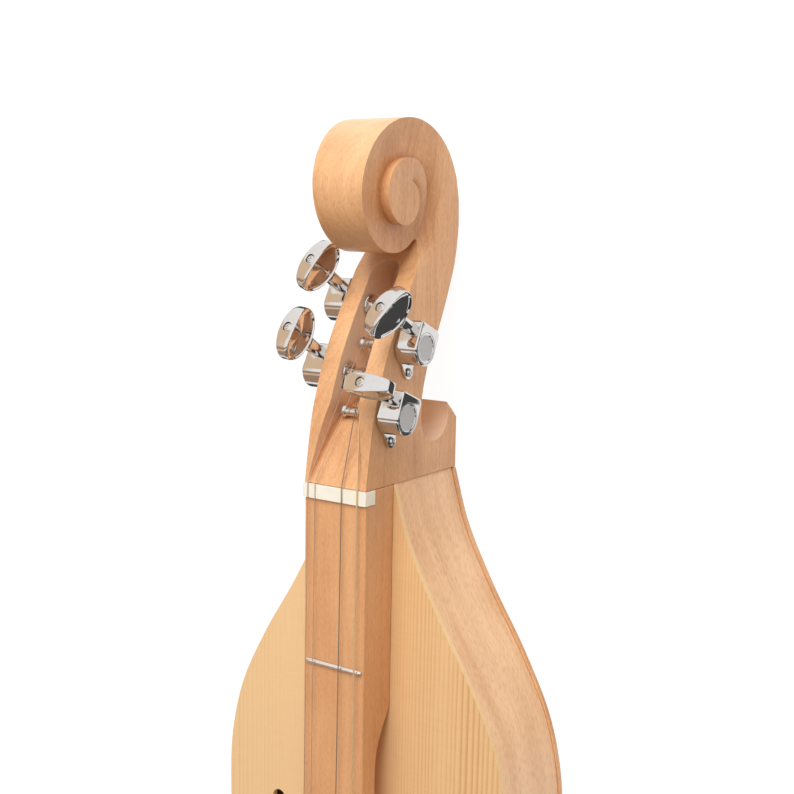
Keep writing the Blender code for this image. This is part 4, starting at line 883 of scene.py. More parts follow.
def build_fretboard():
    """Fretboard that stands on feet between its arches, with a hollow for strumming."""
    base = BODY_DEPTH + GAP
    start, end = STRUM_HOLLOW
    outline = [(HEAD_FACE_X + GAP, base)]
    for arch_start, arch_end in ARCHES:
        outline += arch_curve(arch_start, arch_end)
    outline.append((TAIL_X, base))
    outline += arc(END_CORNER, END_CORNER_RADIUS, 0, 90, 16)
    for t in np.linspace(1, 0, 49):
        drop = STRUM_DEPTH * (1 - abs(2 * t - 1) ** 2.5)
        outline.append((start + (end - start) * t, BOARD_TOP - drop))
    outline += [(GAP, BOARD_TOP), (GAP, NUT_BOTTOM - GAP), (HEAD_FACE_X + GAP, NUT_BOTTOM - GAP)]
    slots = []
    for x in fret_places():
        slot = rectangle(x, TANG_WIDTH / 2 + GAP, BOARD_TOP - TANG_DEPTH - GAP, BOARD_TOP + OVERCUT)
        slots.append((CUT, prism(slot, -HALF + 0.0025, HALF - 0.0025, side_view)))
    make_piece("fretboard_wood", prism(outline, -HALF, HALF, side_view), "board_wood", "fretboard",
               tools=slots, edges=(0.0005, 3, 50))


def build_frets():
    """Fret wires with round crowns and filed ends."""
    step, filed = 0.0001, 0.955
    for number, x in enumerate(fret_places(), 1):
        rings = []
        for t in np.linspace(-1, 1, 33):
            shrink = 1 - max(0.0, (abs(t) - filed) / (1 - filed)) ** 2 * 0.45
            ring = []
            for a in np.linspace(0, math.pi, 17):
                out = FRET_WIDTH / 2 * math.cos(a) * shrink
                up = (FRET_HEIGHT - step) * math.sin(a) * shrink + step * math.sin(a)
                ring.append(from_nut(x + out, t * FRET_LENGTH / 2, BOARD_TOP + GAP + up))
            rings.append(ring)
        tang = rectangle(x, TANG_WIDTH / 2, BOARD_TOP - TANG_DEPTH, BOARD_TOP + FRET_HEIGHT / 2)
        tang = prism(tang, -HALF + 0.0029, HALF - 0.0029, side_view)
        make_piece(f"fret_wire_{number:02d}", loft(rings), "fret_silver", f"fret_{number:02d}",
                   tools=[(JOIN, tang)], smooth_angle=50)


def dress_plain_nodes():
    """Solids whose shape is right already: softened and given their finish."""
    for node, material, width in (("nut", "bone", 0.0007), ("bridge", "bone", 0.0004),
                                  ("tail_block", "inner_wood", 0.0004)):
        obj = frame["nodes"][node]
        obj.data.materials.clear()
        obj.data.materials.append(MATERIALS[material])
        weld = obj.modifiers.new("weld", "WELD")
        weld.merge_threshold = 0.00001
        soften(obj, width, 4, 40)


# Head

def spiral_radius(angle):
    """Radius of the scroll's spiral, angle in degrees from the back of the neck."""
    stations = [(90.0 * index, radius) for index, radius in enumerate(SCROLL_RADII)]
    if angle < 0:
        return SCROLL_RADII[0] + (SCROLL_RADII[0] - SCROLL_RADII[1]) * -angle / 90
    return smooth_value(stations, angle)


def scroll_point(angle, radius):
    """Side-view point at an angle and radius about the scroll's centre."""
    turn = math.radians(angle)
    return (SCROLL_CENTRE[0] - radius * math.sin(turn), SCROLL_CENTRE[1] - radius * math.cos(turn))


def head_outline():
    """Side view of the head: pegbox front, scroll, pegbox back, notch and block."""
    outline = [tuple(point) for point in smooth_through(PEGBOX_FRONT, 8)][:-1]
    for angle in np.linspace(THROAT_ANGLE, 12, 148):
        outline.append(scroll_point(angle, spiral_radius(angle)))
    outline += [tuple(point) for point in smooth_through(PEGBOX_BACK, 8)]
    outline += arc(NOTCH_CENTRE, NOTCH_RADIUS, 90, LIP_ANGLE - 360, 54)
    outline += [LIP_CHAMFER, (LIP_CHAMFER[0] + 0.002, BLOCK_BACK_Z), (HEAD_FACE_X, BLOCK_BACK_Z)]
    return outline


def sweep_cutter(side, start, end, section_at):
    """Sweep a cutter round the scroll's centre; section_at gives its (radius, height) points."""
    rings = []
    for angle in np.linspace(start, end, round((end - start) / 2.5) + 1):
        ring = []
        for radius, height in section_at(angle):
            x, z = scroll_point(angle, radius)
            ring.append(from_nut(x, side * height, z))
        rings.append(ring)
    return (CUT, loft(rings))


def channel_section(angle):
    """Section of the scroll's channel: a bevel on the neck that turns into a dished floor."""
    inner = spiral_radius(angle + 360)
    if angle < THROAT_ANGLE - 364:
        inner = spiral_radius(THROAT_ANGLE - 4) + 0.0003 + 0.00015 * (THROAT_ANGLE - 364 - angle)
    outer = spiral_radius(angle) + 0.0025 * min(1.0, (THROAT_ANGLE - angle) / 60)
    foot = HALF - smooth_value(CHANNEL_DEPTHS, angle + 360)
    rim = smooth_value(RIM_HALF_WIDTHS, angle)
    turn_share = min(1.0, max(0.0, (angle - 20) / 70))
    spread = 0.5 + 0.5 * turn_share
    dish = CHANNEL_DISH * turn_share * min(1.0, max(0.0, (THROAT_ANGLE - 4 - angle) / 45))
    section = [(inner, HALF + 0.003), (inner, foot)]
    for t in np.linspace(0.06, 0.94, 12):
        rise = math.sin(math.pi / 2 * min(1.0, t / spread))
        rise += (t - rise) * turn_share
        height = foot + (rim - foot) * rise - dish * math.sin(math.pi * t)
        section.append((inner + (outer - inner) * t, height))
    return section + [(outer, rim), (outer, HALF + 0.003)]


def runout_section(angle):
    """Section of the inner turn, which climbs out of the channel round the eye."""
    inner = spiral_radius(angle + 360)
    outer = spiral_radius(angle) + 0.00015
    foot = HALF - smooth_value(RUNOUT_FOOT_DEPTHS, angle + 360)
    rim = HALF - smooth_value(RUNOUT_RIM_DEPTHS, angle)
    ridge = smooth_value(RUNOUT_RIDGES, angle)
    section = [(inner, HALF + 0.003), (inner, foot)]
    for t in np.linspace(0.1, 0.9, 9):
        section.append((inner + (outer - inner) * t, foot + (rim - foot) * t + ridge * math.sin(math.pi * t)))
    return section + [(outer, rim), (outer, HALF + 0.003)]


def slot_cutter():
    """Cutter of the pegbox slot: round at the scroll end, with a ramp up to the nut."""
    stations = []
    first = SLOT_STATIONS[0]
    for t in np.linspace(0, 1, 25):
        swing = t * math.pi / 2
        x = SLOT_END_X + SLOT_HALF * (1 - math.cos(swing))
        floor = SLOT_END_FLOOR + (first[2] - SLOT_END_FLOOR) * (x - SLOT_END_X) / (first[0] - SLOT_END_X)
        stations.append((x, max(0.0003, SLOT_HALF * math.sin(swing)), floor))
    stations += [tuple(point) for point in smooth_through(SLOT_STATIONS, 5)]
    top = BOARD_TOP + 0.02
    return (CUT, loft([[from_nut(x, -half, floor), from_nut(x, half, floor), from_nut(x, half, top),
                        from_nut(x, -half, top)] for x, half, floor in stations]))


def tuner_cutters(place):
    """Cutters of one tuner's bore, the seat of its washer and its screw hole."""
    relief = -(HALF - SLOT_HALF) + 0.0001
    bore, seat = SLEEVE_RADIUS + GAP, WASHER_RADIUS + 0.0004
    profile = [(OVERCUT, 0.0), (OVERCUT, bore), (relief, bore), (relief, seat), (relief - 0.0025, seat),
               (relief - 0.0025, 0.0)]
    return [(CUT, turned(profile, place.post, 48)), (CUT, rod(place.screw, -0.0065, OVERCUT, 0.0013, 20))]


def is_painted_light_face(face, vertices):
    """Tell whether a face of the head lies in the pegbox slot or in the throat notch, where painted light
    goes.
    """
    corners = [vertices[index].co for index in face.vertices]
    slot_end = NUT_X + SLOT_END_X
    inside = all(abs(corner.y) < SLOT_HALF + 0.0003 and corner.x > slot_end - 0.002 and corner.z > 0.014
                 for corner in corners) and corners[0].x < NUT_X - 0.010
    inward = abs(face.normal.y) > 0.6 and face.normal.y * face.center.y < 0
    wall = inward and slot_end < face.center.x < NUT_X - 0.004
    notch = from_nut(NOTCH_CENTRE[0], 0.0, NOTCH_CENTRE[1])
    reach = [math.hypot(corner.x - notch.x, corner.z - notch.z) for corner in corners]
    return inside or wall or all(abs(radius - NOTCH_RADIUS) < 0.0004 for radius in reach)


def build_head(tuners):
    """Pegbox, scroll and end block, carved from one plank, with painted light on the shaded faces of the slot
    and the notch.
    """
    cutters = []
    for side in (-1, 1):
        cutters.append(sweep_cutter(side, CHANNEL_START, THROAT_ANGLE - 4, channel_section))
        cutters.append(sweep_cutter(side, THROAT_ANGLE - 8, RUNOUT_END, runout_section))
    cutters.append(slot_cutter())
    inset = PLATE_OVERHANG + RIB_THICKNESS + GAP
    edge = offset_outline(np.linspace(HEAD_FACE_X + GAP, HEAD_BLOCK_END_X, 12), inset)
    tenon = mirrored([(HEAD_FACE_X - 0.004, edge[0][1])] + edge)
    cutters.append((JOIN, prism(tenon, *RIB_LEVELS, plan_view)))
    for place in tuners.values():
        cutters += tuner_cutters(place)
    head = make_piece("carved_head", prism(head_outline(), -HALF, HALF, side_view), "hardwood",
                      "pegbox_scroll", tools=cutters, edges=(0.0005, 3, 40), smooth_angle=28)
    # Painted light: the paler copy of the wood goes on the shaded faces of the slot and the notch
    head.data.materials.append(MATERIALS["painted_light_wood"])
    for face in head.data.polygons:
        face.material_index = 1 if is_painted_light_face(face, head.data.vertices) else 0


# Tuners

class TunerFrame:
    """Place of one tuner: along its shaft, towards the scroll, and out from the cheek."""

    def __init__(self, label):
        joints = {joint["name"]: joint for joint in frame["joints"]}
        axis = Vector(joints[f"shaft_turn_{label}"]["axis"])
        self.origin = Vector(joints[f"post_turn_{label}"]["pos_m"])
        self.side = 1 if self.origin.y > 0 else -1
        self.along = axis
        self.across = Vector((-axis.z, 0.0, axis.x))
        self.out = Vector((0.0, self.side, 0.0))

    def at(self, along, across, out):
        """Point of the tuner, from its distances along, across and out."""
        return self.origin + self.along * along + self.across * across + self.out * out

    def post(self, out, first, second):
        """Place for shapes turned round the string post."""
        return self.at(first, second, out)

    def shaft(self, along, first, second):
        """Place for shapes turned round the worm shaft."""
        return self.at(along, GEAR_CENTRES + first, GEAR_LEVEL + second)

    def screw(self, out, first, second):
        """Place for shapes turned round the mounting screw."""
        return self.at(TAB_POINT[0] + first, TAB_POINT[1] + second, out)


def rod(place, start, end, radius, sides):
    """Return a plain closed cylinder in one of the tuner's places."""
    return turned([(start, 0.0), (start, radius), (end, radius), (end, 0.0)], place, sides)


def inset_outline(outline, distance):
    """Move a closed convex outline inwards."""
    centre = Vector((sum(p[0] for p in outline), sum(p[1] for p in outline))) / len(outline)
    count = len(outline)
    moved = []
    for index in range(count):
        here = Vector(outline[index])
        normals = []
        for first, second in ((index - 1, index), (index, (index + 1) % count)):
            edge = Vector(outline[second]) - Vector(outline[first])
            normal = Vector((edge.y, -edge.x)).normalized()
            if normal.dot(centre - here) < 0:
                normal = -normal
            normals.append(normal)
        middle = (normals[0] + normals[1]).normalized()
        moved.append(here + middle * distance / max(0.35, middle.dot(normals[0])))
    return [(point.x, point.y) for point in moved]


def drum_shape(place):
    """Drum and worm tunnel of a housing, with a rounded top edge."""
    meet = math.degrees(math.asin(math.sqrt(1 - (TUNNEL_FRONT / DRUM_RADIUS) ** 2)))
    near, far, fillet = 0.0012, 0.0022, 0.0009
    outline = arc((0.0, 0.0), DRUM_RADIUS, 180, 360 - meet, 60)
    outline += arc((TUNNEL_FRONT - near, TUNNEL_REACH - near), near, 0, 90, 8)
    outline += arc((-TUNNEL_BACK + far, TUNNEL_REACH - far), far, 90, 180, 14)
    rows = [(GAP, 0.0002), (GAP + 0.0002, 0.0), (DRUM_HEIGHT - fillet, 0.0)]
    for turn in np.radians(np.linspace(12, 90, 7)):
        rows.append((DRUM_HEIGHT - fillet + fillet * math.sin(turn), fillet * (1 - math.cos(turn))))
    rings = []
    for level, inset in rows:
        ring = inset_outline(outline, inset) if inset else outline
        rings.append([place.at(along, across, level) for along, across in ring])
    return loft(rings)


def build_housing(label, place):
    """Cast housing: drum, worm tunnel, shaft boss and screw tab, hollow round the gears."""
    boss = rounded([(TUNNEL_FRONT - 0.0011, 0.0), (TUNNEL_FRONT - 0.0011, BOSS_RADIUS),
                    (BOSS_END, BOSS_RADIUS), (BOSS_END, 0.0)], 0.0004)
    angle = math.degrees(math.atan2(TAB_POINT[1], TAB_POINT[0]))
    tab = arc(TAB_POINT, TAB_RADIUS, angle - 90, angle + 90, 28)
    tab += arc((0.0, 0.0), TAB_BASE_RADIUS, angle + 90, angle + 270, 12)
    seat, over = DRUM_HEIGHT - CAP_THICKNESS - GAP, DRUM_HEIGHT + OVERCUT
    bore, room, rim = POST_RADIUS + GAP, 0.0053, CAP_RADIUS + 0.0001
    hollow = [(-OVERCUT, 0.0), (-OVERCUT, bore), (0.0025, bore), (0.0025, room), (seat, room), (seat, rim),
              (over, rim), (over, 0.0)]
    tools = [
        (JOIN, turned(boss, place.shaft, 56)),
        (JOIN, prism(tab, GAP + 0.0001, GAP + BASE_THICKNESS, place.at)),
        (CUT, turned(hollow, place.post, 72)),
        (CUT, rod(place.shaft, SHAFT_BACK - 0.0005, 0.0060, WORM_RADIUS + TOOTH_ADDENDUM + 0.0006, 32)),
        (CUT, rod(place.shaft, 0.0050, BOSS_END + OVERCUT, SHAFT_RADIUS + GAP, 32)),
        (CUT, rod(place.screw, -OVERCUT, 0.004, 0.0014, 24)),
    ]
    make_piece(f"housing_{label}", drum_shape(place), "chrome", f"tuner_{label}_housing", tools=tools,
               edges=(0.0002, 2, 48), smooth_angle=40)


def build_cap(label, place):
    """Pressed cap: a bright rim round a sunk satin face."""
    top = DRUM_HEIGHT
    profile = rounded([
        (top - CAP_THICKNESS, 0.0), (top - CAP_THICKNESS, CAP_RADIUS), (top, CAP_RADIUS),
        (top, CAP_RADIUS - 0.0009), (top - CAP_RECESS, CAP_RADIUS - 0.0012), (top - CAP_RECESS, 0.0),
    ], 0.00022)
    cap = make_piece(f"cap_{label}", turned(profile, place.post, 72), "cap_grey", f"tuner_{label}_cap")
    cap.data.materials.append(MATERIALS["chrome"])
    for face in cap.data.polygons:
        middle = face.center - place.origin
        middle -= place.out * middle.dot(place.out)
        face.material_index = 1 if middle.length > CAP_RADIUS - 0.00125 else 0


def wheel_outline():
    """Outline of the worm wheel, tooth by tooth, as (radius, angle)."""
    outline = []
    pitch = 2 * math.pi / WHEEL_TEETH
    root = WHEEL_RADIUS - TOOTH_DEDENDUM
    crest = WHEEL_RADIUS + TOOTH_ADDENDUM
    for tooth in range(WHEEL_TEETH):
        for offset, radius in ((-0.30, root), (-0.24, root), (-0.08, crest), (0.08, crest), (0.24, root),
                               (0.30, root)):
            outline.append((radius, (tooth + offset) * pitch))
    return outline


def build_post(label, place):
    """String post with a waist for the winding, and the worm wheel fixed to its inner end."""
    neck = -(HALF - SLOT_HALF) - 0.0018
    tip = -POST_TIP
    top = GEAR_LEVEL + WHEEL_WIDTH / 2 + 0.0005
    profile = rounded([
        (top, 0.0), (top, POST_WAIST), (top - 0.0003, POST_RADIUS), (neck, POST_RADIUS),
        (neck - 0.0003, POST_WAIST), (tip + 0.0028, POST_WAIST), (tip + 0.0018, POST_FLARE),
        (tip + 0.0006, POST_FLARE), (tip, POST_FLARE - 0.0006), (tip, 0.0),
    ], 0.0003)
    twist = WHEEL_WIDTH * WORM_PITCH / (2 * math.pi * WORM_RADIUS) / WHEEL_RADIUS
    rings = []
    for t in np.linspace(0, 1, 5):
        ring = []
        for radius, angle in wheel_outline():
            turn = angle + math.pi / 2 + (t - 0.5) * twist
            level = GEAR_LEVEL + (t - 0.5) * WHEEL_WIDTH
            ring.append(place.at(radius * math.cos(turn), radius * math.sin(turn), level))
        rings.append(ring)
    make_piece(f"string_post_{label}", turned(profile, place.post, 48), "chrome", f"tuner_{label}_post",
               f"post_{label}", [(JOIN, loft(rings))])


def worm_radius(along, turn):
    """Radius of the worm at a place along it and an angle round it, in turns."""
    phase = (along / WORM_PITCH - turn - 0.25) % 1.0
    distance = min(phase, 1.0 - phase)
    root = WORM_RADIUS - TOOTH_DEDENDUM
    crest = WORM_RADIUS + TOOTH_ADDENDUM
    blend = float(np.clip((0.24 - distance) / 0.16, 0.0, 1.0))
    fade = float(np.clip((THREAD_REACH - abs(along)) / (WORM_PITCH * 0.4), 0.0, 1.0))
    return root + (crest - root) * blend * fade


def build_worm_shaft(label, place):
    """Worm shaft: back journal, thread, bearing length and the end inside the button."""
    sides, bore = 28, 0.0009
    levels = [(SHAFT_BACK, lambda turn: bore), (SHAFT_BACK + 0.0002, lambda turn: bore + 0.0002)]
    for along in np.linspace(-THREAD_REACH, THREAD_REACH, 57):
        levels.append((along, lambda turn, along=along: worm_radius(along, turn)))
    for along, radius in ((THREAD_REACH + 0.0004, SHAFT_RADIUS), (SHAFT_END - 0.0002, SHAFT_RADIUS),
                          (SHAFT_END, SHAFT_RADIUS - 0.0002), (SHAFT_END, bore), (SHAFT_END - 0.0045, bore)):
        levels.append((along, lambda turn, radius=radius: radius))
    rings = []
    for along, radius_at in levels:
        ring = []
        for step, (a, b) in enumerate(circle(1.0, sides)):
            radius = radius_at(step / sides)
            ring.append(place.shaft(along, -radius * b, radius * a))
        rings.append(ring)
    make_piece(f"worm_{label}", loft(rings), "gear_brass", f"tuner_{label}_worm_shaft",
               f"shaft_{label}", smooth_angle=40)


def button_outline(count):
    """Outline of a button, (along its length, along the shaft), with a fuller outer edge."""
    points = []
    for step in range(count):
        angle = 2 * math.pi * step / count
        cosine, sine = math.cos(angle), math.sin(angle)
        length = BUTTON_LENGTH / 2 * math.copysign(abs(cosine) ** 0.90, cosine)
        depth = BUTTON_DEPTH / 2 * math.copysign(abs(sine) ** (0.86 if sine > 0 else 1.0), sine)
        points.append((length, depth))
    return points


def button_rows():
    """Section of a button from the middle of one face over the rim to the other face."""
    half = []
    for scale in np.linspace(0.06, 0.86, 9):
        half.append((scale, 0.77 + 0.07 * (scale / 0.86) ** 2.2, scale / 0.86))
    corner = smooth_through([(0.86, 0.84, 1.0), (0.905, 0.93, 1.0), (0.935, 0.985, 1.0), (0.962, 0.975, 1.0),
                             (0.982, 0.90, 1.0), (1.0, 0.66, 1.0)], 3)
    half += [tuple(point) for point in corner[1:]]
    half += [(1.0 + 0.004 * (1 - (level / 0.66) ** 2), level, 1.0) for level in (0.45, 0.2)]
    rows = [(scale, -level, slim) for scale, level, slim in half]
    rows.append((1.004, 0.0, 1.0))
    rows += [(scale, level, slim) for scale, level, slim in reversed(half)]
    return rows


def build_button(label, place, roll):
    """Oval button: a crowned rim, two dished faces and a collar round the shaft."""
    centre = BUTTON_START + BUTTON_DEPTH / 2
    turn = math.radians(roll)
    rings = []
    for scale, level, slimming in button_rows():
        ring = []
        for length, depth in button_outline(96):
            slim = 1.0 - BUTTON_TAPER * slimming * (2 * length / BUTTON_LENGTH) ** 2
            thick = level * BUTTON_THICKNESS / 2 * slim
            length, depth = length * min(scale, 1.0), depth * min(scale, 1.0)
            across = length * math.sin(turn) - place.side * thick * math.cos(turn)
            out = place.side * length * math.cos(turn) + thick * math.sin(turn)
            ring.append(place.shaft(centre + depth, across, out))
        rings.append(ring)
    start, neck = BOSS_END + 0.0005, BUTTON_START + 0.0004
    collar = [(start, 0.0), (start, BOSS_RADIUS - 0.0002), (neck, BUTTON_COLLAR_RADIUS - 0.0006),
              (neck + 0.0026, BUTTON_COLLAR_RADIUS), (neck + 0.0026, 0.0)]
    shaft, thread, head = SHAFT_RADIUS + GAP, 0.0009, BUTTON_SCREW_RADIUS + 0.00018
    seat, over = BUTTON_SCREW_SEAT - GAP, BUTTON_START + BUTTON_DEPTH + OVERCUT
    bore = [(BOSS_END - 0.001, 0.0), (BOSS_END - 0.001, shaft), (SHAFT_END + GAP, shaft),
            (SHAFT_END + GAP, thread), (seat, thread), (seat, head), (over, head), (over, 0.0)]
    tools = [(JOIN, turned(rounded(collar, 0.0003), place.shaft, 48)), (CUT, turned(bore, place.shaft, 40))]
    make_piece(f"button_{label}", loft(rings), "chrome", f"tuner_{label}_button", f"shaft_{label}", tools,
               smooth_angle=40)


def build_screw(name, place, seat, head, shank, body, node):
    """Round-head screw with a cross recess; head is its radius and height, shank its radius and end."""
    radius, height = head
    top = seat + height
    profile = rounded([(shank[1], 0.0), (shank[1], shank[0]), (seat, shank[0]), (seat, radius),
                       (seat + height * 0.5, radius), (top, radius * 0.66), (top, 0.0)], 0.0003)
    arm, half, depth = 0.0012, 0.00026, 0.0006
    cross = [(arm, -half), (arm, half), (half, half), (half, arm), (-half, arm), (-half, half),
             (-arm, half), (-arm, -half), (-half, -half), (-half, -arm), (half, -arm), (half, -half)]
    recess = prism(cross, top - depth, top + 0.001, lambda a, b, h: place(h, a, b))
    make_piece(name, turned(profile, place, 40), "chrome", node, body, [(CUT, recess)])


def build_bushing(label, place):
    """Bushing through the cheek, with a washer and a hexagon on the inside of the pegbox."""
    face = -(HALF - SLOT_HALF) - GAP
    bore = POST_RADIUS + 0.0001
    rim = face - WASHER_THICKNESS
    profile = [(-GAP, bore), (-GAP, SLEEVE_RADIUS), (face, SLEEVE_RADIUS), (face, WASHER_RADIUS - 0.0002),
               (face - WASHER_THICKNESS * 0.6, WASHER_RADIUS), (rim, WASHER_RADIUS - 0.0004), (rim, bore)]
    top = rim - HEX_HEIGHT
    tools = [(JOIN, rod(place.post, face - 0.0003, top, HEX_RADIUS, 6)),
             (CUT, rod(place.post, top - OVERCUT, OVERCUT, bore, 48))]
    make_piece(f"ferrule_{label}", turned(profile, place.post, 48), "chrome", f"tuner_{label}_bushing",
               tools=tools, edges=(0.00015, 2, 40))


def build_tuner(label, roll, place):
    """One worm-geared tuner."""
    build_housing(label, place)
    build_cap(label, place)
    build_bushing(label, place)
    build_post(label, place)
    build_worm_shaft(label, place)
    build_button(label, place, roll)
    build_screw(f"tab_screw_{label}", place.screw, BASE_THICKNESS + 2 * GAP, (0.0021, 0.0011),
                (0.0010, -0.0060), BODY, f"tuner_{label}_mounting_screw")
    build_screw(f"button_screw_{label}", place.shaft, BUTTON_SCREW_SEAT,
                (BUTTON_SCREW_RADIUS, BUTTON_SCREW_HEIGHT), (0.0006, SHAFT_END - 0.0040),
                f"shaft_{label}", f"tuner_{label}_button_screw")


# Strings

def notch_level(top, radius):
    """Height of a string's centre where it lies in a V notch cut in a saddle."""
    reach, rise = 0.0009, NOTCH_DEPTH + 0.0006
    return top - NOTCH_DEPTH + (radius + GAP + NOTCH_SPARE) * math.hypot(reach, rise) / reach


def winding_points(x, z, radius, start_y, loops, direction, target):
    """Helix round a post that leaves it on the tangent towards the target (x, z)."""
    circle = POST_WAIST + GAP + radius + WIRE_SPARE
    away = Vector((target[0] - x, target[1] - z))
    leave = math.atan2(away.y, away.x) + math.acos(circle / away.length)
    pitch = 2 * radius + WINDING_SPACE
    count = round(loops * POINTS_PER_LOOP)
    points = []
    for step in range(count + 1):
        turn = 2 * math.pi * (count - step) / POINTS_PER_LOOP
        y = start_y + direction * pitch * turn / (2 * math.pi)
        points.append(from_nut(x + circle * math.cos(leave + turn), y, z + circle * math.sin(leave + turn)))
    return points


def string_points(string, post, peg_side):
    """Centre line of one string from its post over nut and bridge to its hitch peg."""
    name, diameter, nut_y, bridge_y, start_y, loops, direction, leans = string
    radius = diameter / 2
    nut_z = notch_level(NUT_TOP, radius)
    bridge_z = notch_level(BOARD_TOP + BRIDGE_HEIGHT, radius)
    path = [*leans, (HEAD_FACE_X - 0.0005, nut_y, nut_z)]
    target = (path[0][0], path[0][2])
    points = winding_points(post.x - NUT_X, post.z, radius, start_y, loops, direction, target)
    path.append((0.0006, nut_y, nut_z))
    path += [(SCALE_LENGTH + offset, bridge_y, bridge_z) for offset in (-0.0026, 0.0026)]
    for x, z in arc(END_CORNER, END_CORNER_RADIUS + GAP + radius + WIRE_SPARE, 88, 0, 12):
        path.append((x, bridge_y, z))
    hang_x = TAIL_X + GAP + HITCH_PLATE[3] + GAP + radius + NOTCH_SPARE
    peg_z = PEG_HEIGHTS[[one[0] for one in STRINGS].index(name)]
    path.append((TAIL_X + GAP + radius + 0.0002, bridge_y, 0.0600))
    path.append((hang_x, bridge_y, HITCH_PLATE[2] + 0.0012))
    swing = PEG_RADIUS + GAP + radius + WIRE_SPARE
    for angle in np.linspace(0, math.pi, 19):
        y = bridge_y + peg_side * swing * (1 - math.cos(angle))
        path.append((hang_x, y, peg_z - swing * math.sin(angle)))
    path.append((hang_x, bridge_y + peg_side * 2 * swing, peg_z + 0.0022))
    points += [from_nut(*point) for point in path]
    return points, bridge_y + peg_side * swing, peg_z


def tube(points, radius, sides):
    """Sweep a closed tube along points, without twist."""
    nothing = Vector((0.0, 0.0, 0.0))
    steps = [(after - here).normalized() for here, after in zip(points, points[1:])]
    tangents = [(first + second).normalized() for first, second in zip([nothing] + steps, steps + [nothing])]
    normal = tangents[0].orthogonal().normalized()
    rings = []
    for index, point in enumerate(points):
        if index:
            normal = tangents[index - 1].rotation_difference(tangents[index]) @ normal
        normal = (normal - tangents[index] * normal.dot(tangents[index])).normalized()
        other = tangents[index].cross(normal)
        rings.append([point + normal * a + other * b for a, b in circle(radius, sides)])
    return loft(rings)


def build_strings(tuners):
    """Four strings and the hitch plate that they hook on."""
    pegs = []
    for string, peg_side in zip(STRINGS, (-1, 1, -1, 1)):
        points, peg_y, peg_z = string_points(string, tuners[string[0]].origin, peg_side)
        pegs.append((peg_y, peg_z))
        kind = {"bass": "string_bronze", "middle": "string_steel"}.get(string[0], "thin_steel")
        make_piece(f"wire_{string[0]}", tube(points, string[1] / 2, 12), kind, f"string_{string[0]}",
                   smooth_angle=60)
    build_hitch_plate(pegs)


def build_hitch_plate(pegs):
    """Plate on the tail with one round-headed pin for each string."""
    half, low, high, thickness = HITCH_PLATE
    near, end = TAIL_X + GAP, TAIL_X + PIN_REACH
    outline = []
    for y, z, start in ((half, high, 0), (-half, high, 90), (-half, low, 180), (half, low, 270)):
        centre = (y - math.copysign(PLATE_CORNER, y), z + (PLATE_CORNER if z == low else -PLATE_CORNER))
        outline += arc(centre, PLATE_CORNER, start, start + 90, 12)
    root = near + thickness / 2
    profile = rounded([(root, 0.0), (root, PEG_RADIUS), (end - 0.0010, PEG_RADIUS),
                       (end - 0.0007, PEG_HEAD_RADIUS), (end, PEG_HEAD_RADIUS - 0.0003), (end, 0.0)], 0.0002)
    pins = [(JOIN, turned(profile, lambda along, a, b: from_nut(along, y + a, z + b), 32)) for y, z in pegs]
    make_piece("tail_plate", prism(outline, near, near + thickness, end_view), "chrome", "hitch_plate",
               tools=pins, edges=(0.0003, 3, 50))


# Studio

def make_floor():
    """Pale floor that shows as white and keeps a faint shadow; metal sees it dark beside the head."""
    mesh = bpy.data.meshes.new("floor")
    half, level = 6.0, -0.0002
    corners = [(-half, -half, level), (half, -half, level), (half, half, level), (-half, half, level)]
    mesh.from_pydata(corners, [], [(0, 1, 2, 3)])
    floor = bpy.data.objects.new("floor", mesh)
    bpy.context.scene.collection.objects.link(floor)
    graph = Graph(bpy.data.materials.new("floor_white"))
    graph.tree.nodes.clear()
    matte = graph.add("ShaderNodeBsdfDiffuse", (("Color", FLOOR_COLOUR),)).outputs[0]
    white = graph.add("ShaderNodeEmission", (("Strength", FLOOR_WHITE),)).outputs[0]
    share = graph.number("MULTIPLY", graph.seen("Is Camera Ray"), FLOOR_WHITE_SHARE)
    lit = graph.mix_shaders(share, matte, white)
    x, y, _ = graph.split(graph.place())
    sideways = graph.chain("ADD", graph.number("ABSOLUTE", y),
                           graph.spread(x, *DARK_TURN, 0.0, DARK_TURN_DEPTH),
                           graph.window(x, *DARK_STEP, DARK_STEP_DEPTH))
    dark = graph.number("MULTIPLY", graph.step(sideways, *DARK_EDGE, 0.0, DARK_SHARE),
                        graph.window(x, *DARK_LENGTH))
    glow = graph.add("ShaderNodeEmission", (("Strength", graph.number("SUBTRACT", 1.0, dark)),)).outputs[0]
    surface = graph.mix_shaders(graph.seen("Is Glossy Ray", "Is Transmission Ray"), lit, glow)
    graph.add("ShaderNodeOutputMaterial", (("Surface", surface),))
    mesh.materials.append(graph.owner)


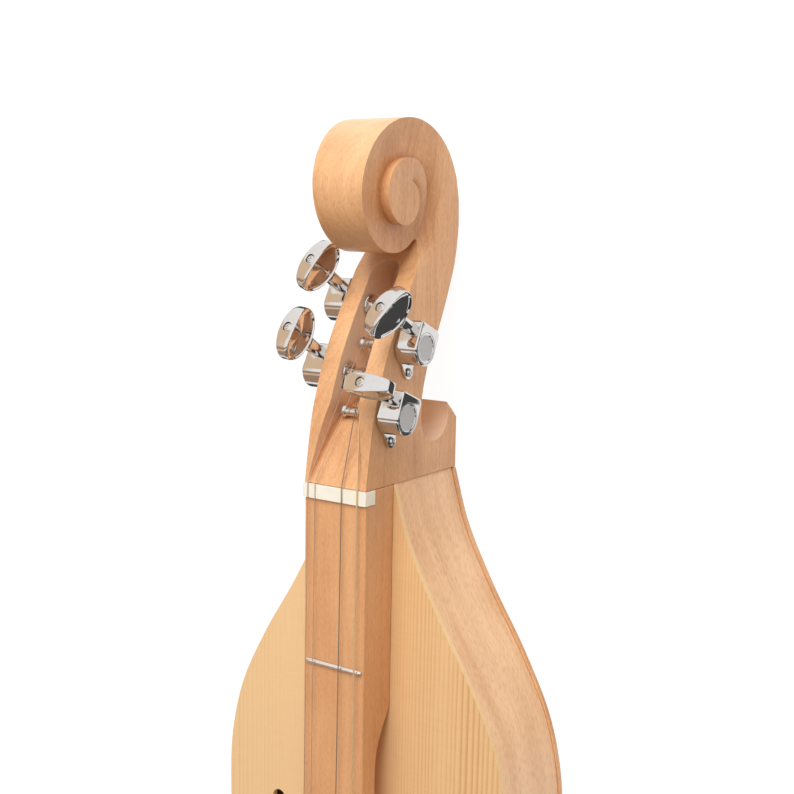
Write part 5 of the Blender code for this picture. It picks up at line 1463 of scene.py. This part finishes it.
def make_world():
    """Even fill and a white background; metal sees a room that is white on one side and dark on the other."""
    graph = Graph(bpy.data.worlds.new("studio"))
    bpy.context.scene.world = graph.owner
    graph.tree.nodes.clear()
    fill = graph.add("ShaderNodeBackground", (("Color", FILL_COLOUR), ("Strength", FILL_STRENGTH))).outputs[0]
    white = graph.add("ShaderNodeBackground", (("Color", WHITE),)).outputs[0]
    x, y, z = graph.split(graph.place("Generated"))
    bright = graph.number("MAXIMUM", graph.step(x, *ROOM_WHITE_END, 1.0, 0.0),
                          graph.window(x, *ROOM_STRIP, ROOM_STRIP_SHARE))
    clear = graph.chain("MAXIMUM", graph.step(y, *ROOM_TAN_END),
                        graph.step(x, *ROOM_FRONT_END, ROOM_FRONT_SHARE, 0.0), graph.step(z, *ROOM_TOP_START))
    light = graph.mix(clear, ROOM_TAN, WHITE)
    shade = graph.mix(graph.step(y, *ROOM_BROWN_END), ROOM_BROWN, ROOM_DARK)
    glow = graph.add("ShaderNodeBackground", (("Color", graph.mix(bright, shade, light)),)).outputs[0]
    surroundings = graph.mix_shaders(graph.seen("Is Glossy Ray", "Is Transmission Ray"), fill, glow)
    surroundings = graph.mix_shaders(graph.seen("Is Camera Ray"), surroundings, white)
    graph.add("ShaderNodeOutputWorld", (("Surface", surroundings),))


def add_lamp(name, place, aim, size, power, shade):
    """Soft square lamp that metal doesn't mirror."""
    data = bpy.data.lights.new(name, "AREA")
    data.shape = "SQUARE"
    data.size = size
    data.energy = power
    data.color = shade
    lamp = bpy.data.objects.new(name, data)
    lamp.location = place
    lamp.visible_glossy = False
    lamp.rotation_mode = "QUATERNION"
    lamp.rotation_quaternion = (Vector(aim) - Vector(place)).to_track_quat("-Z", "Y")
    bpy.context.scene.collection.objects.link(lamp)


def make_camera():
    """Camera at the photograph's viewing angle."""
    data = bpy.data.cameras.new("camera")
    data.lens = CAMERA_LENS
    data.sensor_width = 36.0
    data.sensor_fit = "HORIZONTAL"
    data.clip_start = 0.01
    data.clip_end = 50.0
    forward = (CAMERA_AIM - CAMERA_PLACE).normalized()
    right = forward.cross(CAMERA_UP).normalized()
    up = right.cross(forward)
    camera = bpy.data.objects.new("camera", data)
    rotation = Matrix((right, up, -forward)).transposed()
    camera.matrix_world = Matrix.Translation(CAMERA_PLACE) @ rotation.to_4x4()
    bpy.context.scene.collection.objects.link(camera)
    bpy.context.scene.camera = camera


make_camera()
make_world()
make_floor()
for lamp_values in LAMPS:
    add_lamp(*lamp_values)
bpy.context.scene.view_settings.view_transform = "Standard"

MATERIALS = make_materials()
TUNER_FRAMES = {label: TunerFrame(label) for label, _ in TUNERS}
build_plates()
build_ribs()
build_fretboard()
build_frets()
dress_plain_nodes()
build_head(TUNER_FRAMES)
for tuner_label, button_roll in TUNERS:
    build_tuner(tuner_label, button_roll, TUNER_FRAMES[tuner_label])
build_strings(TUNER_FRAMES)
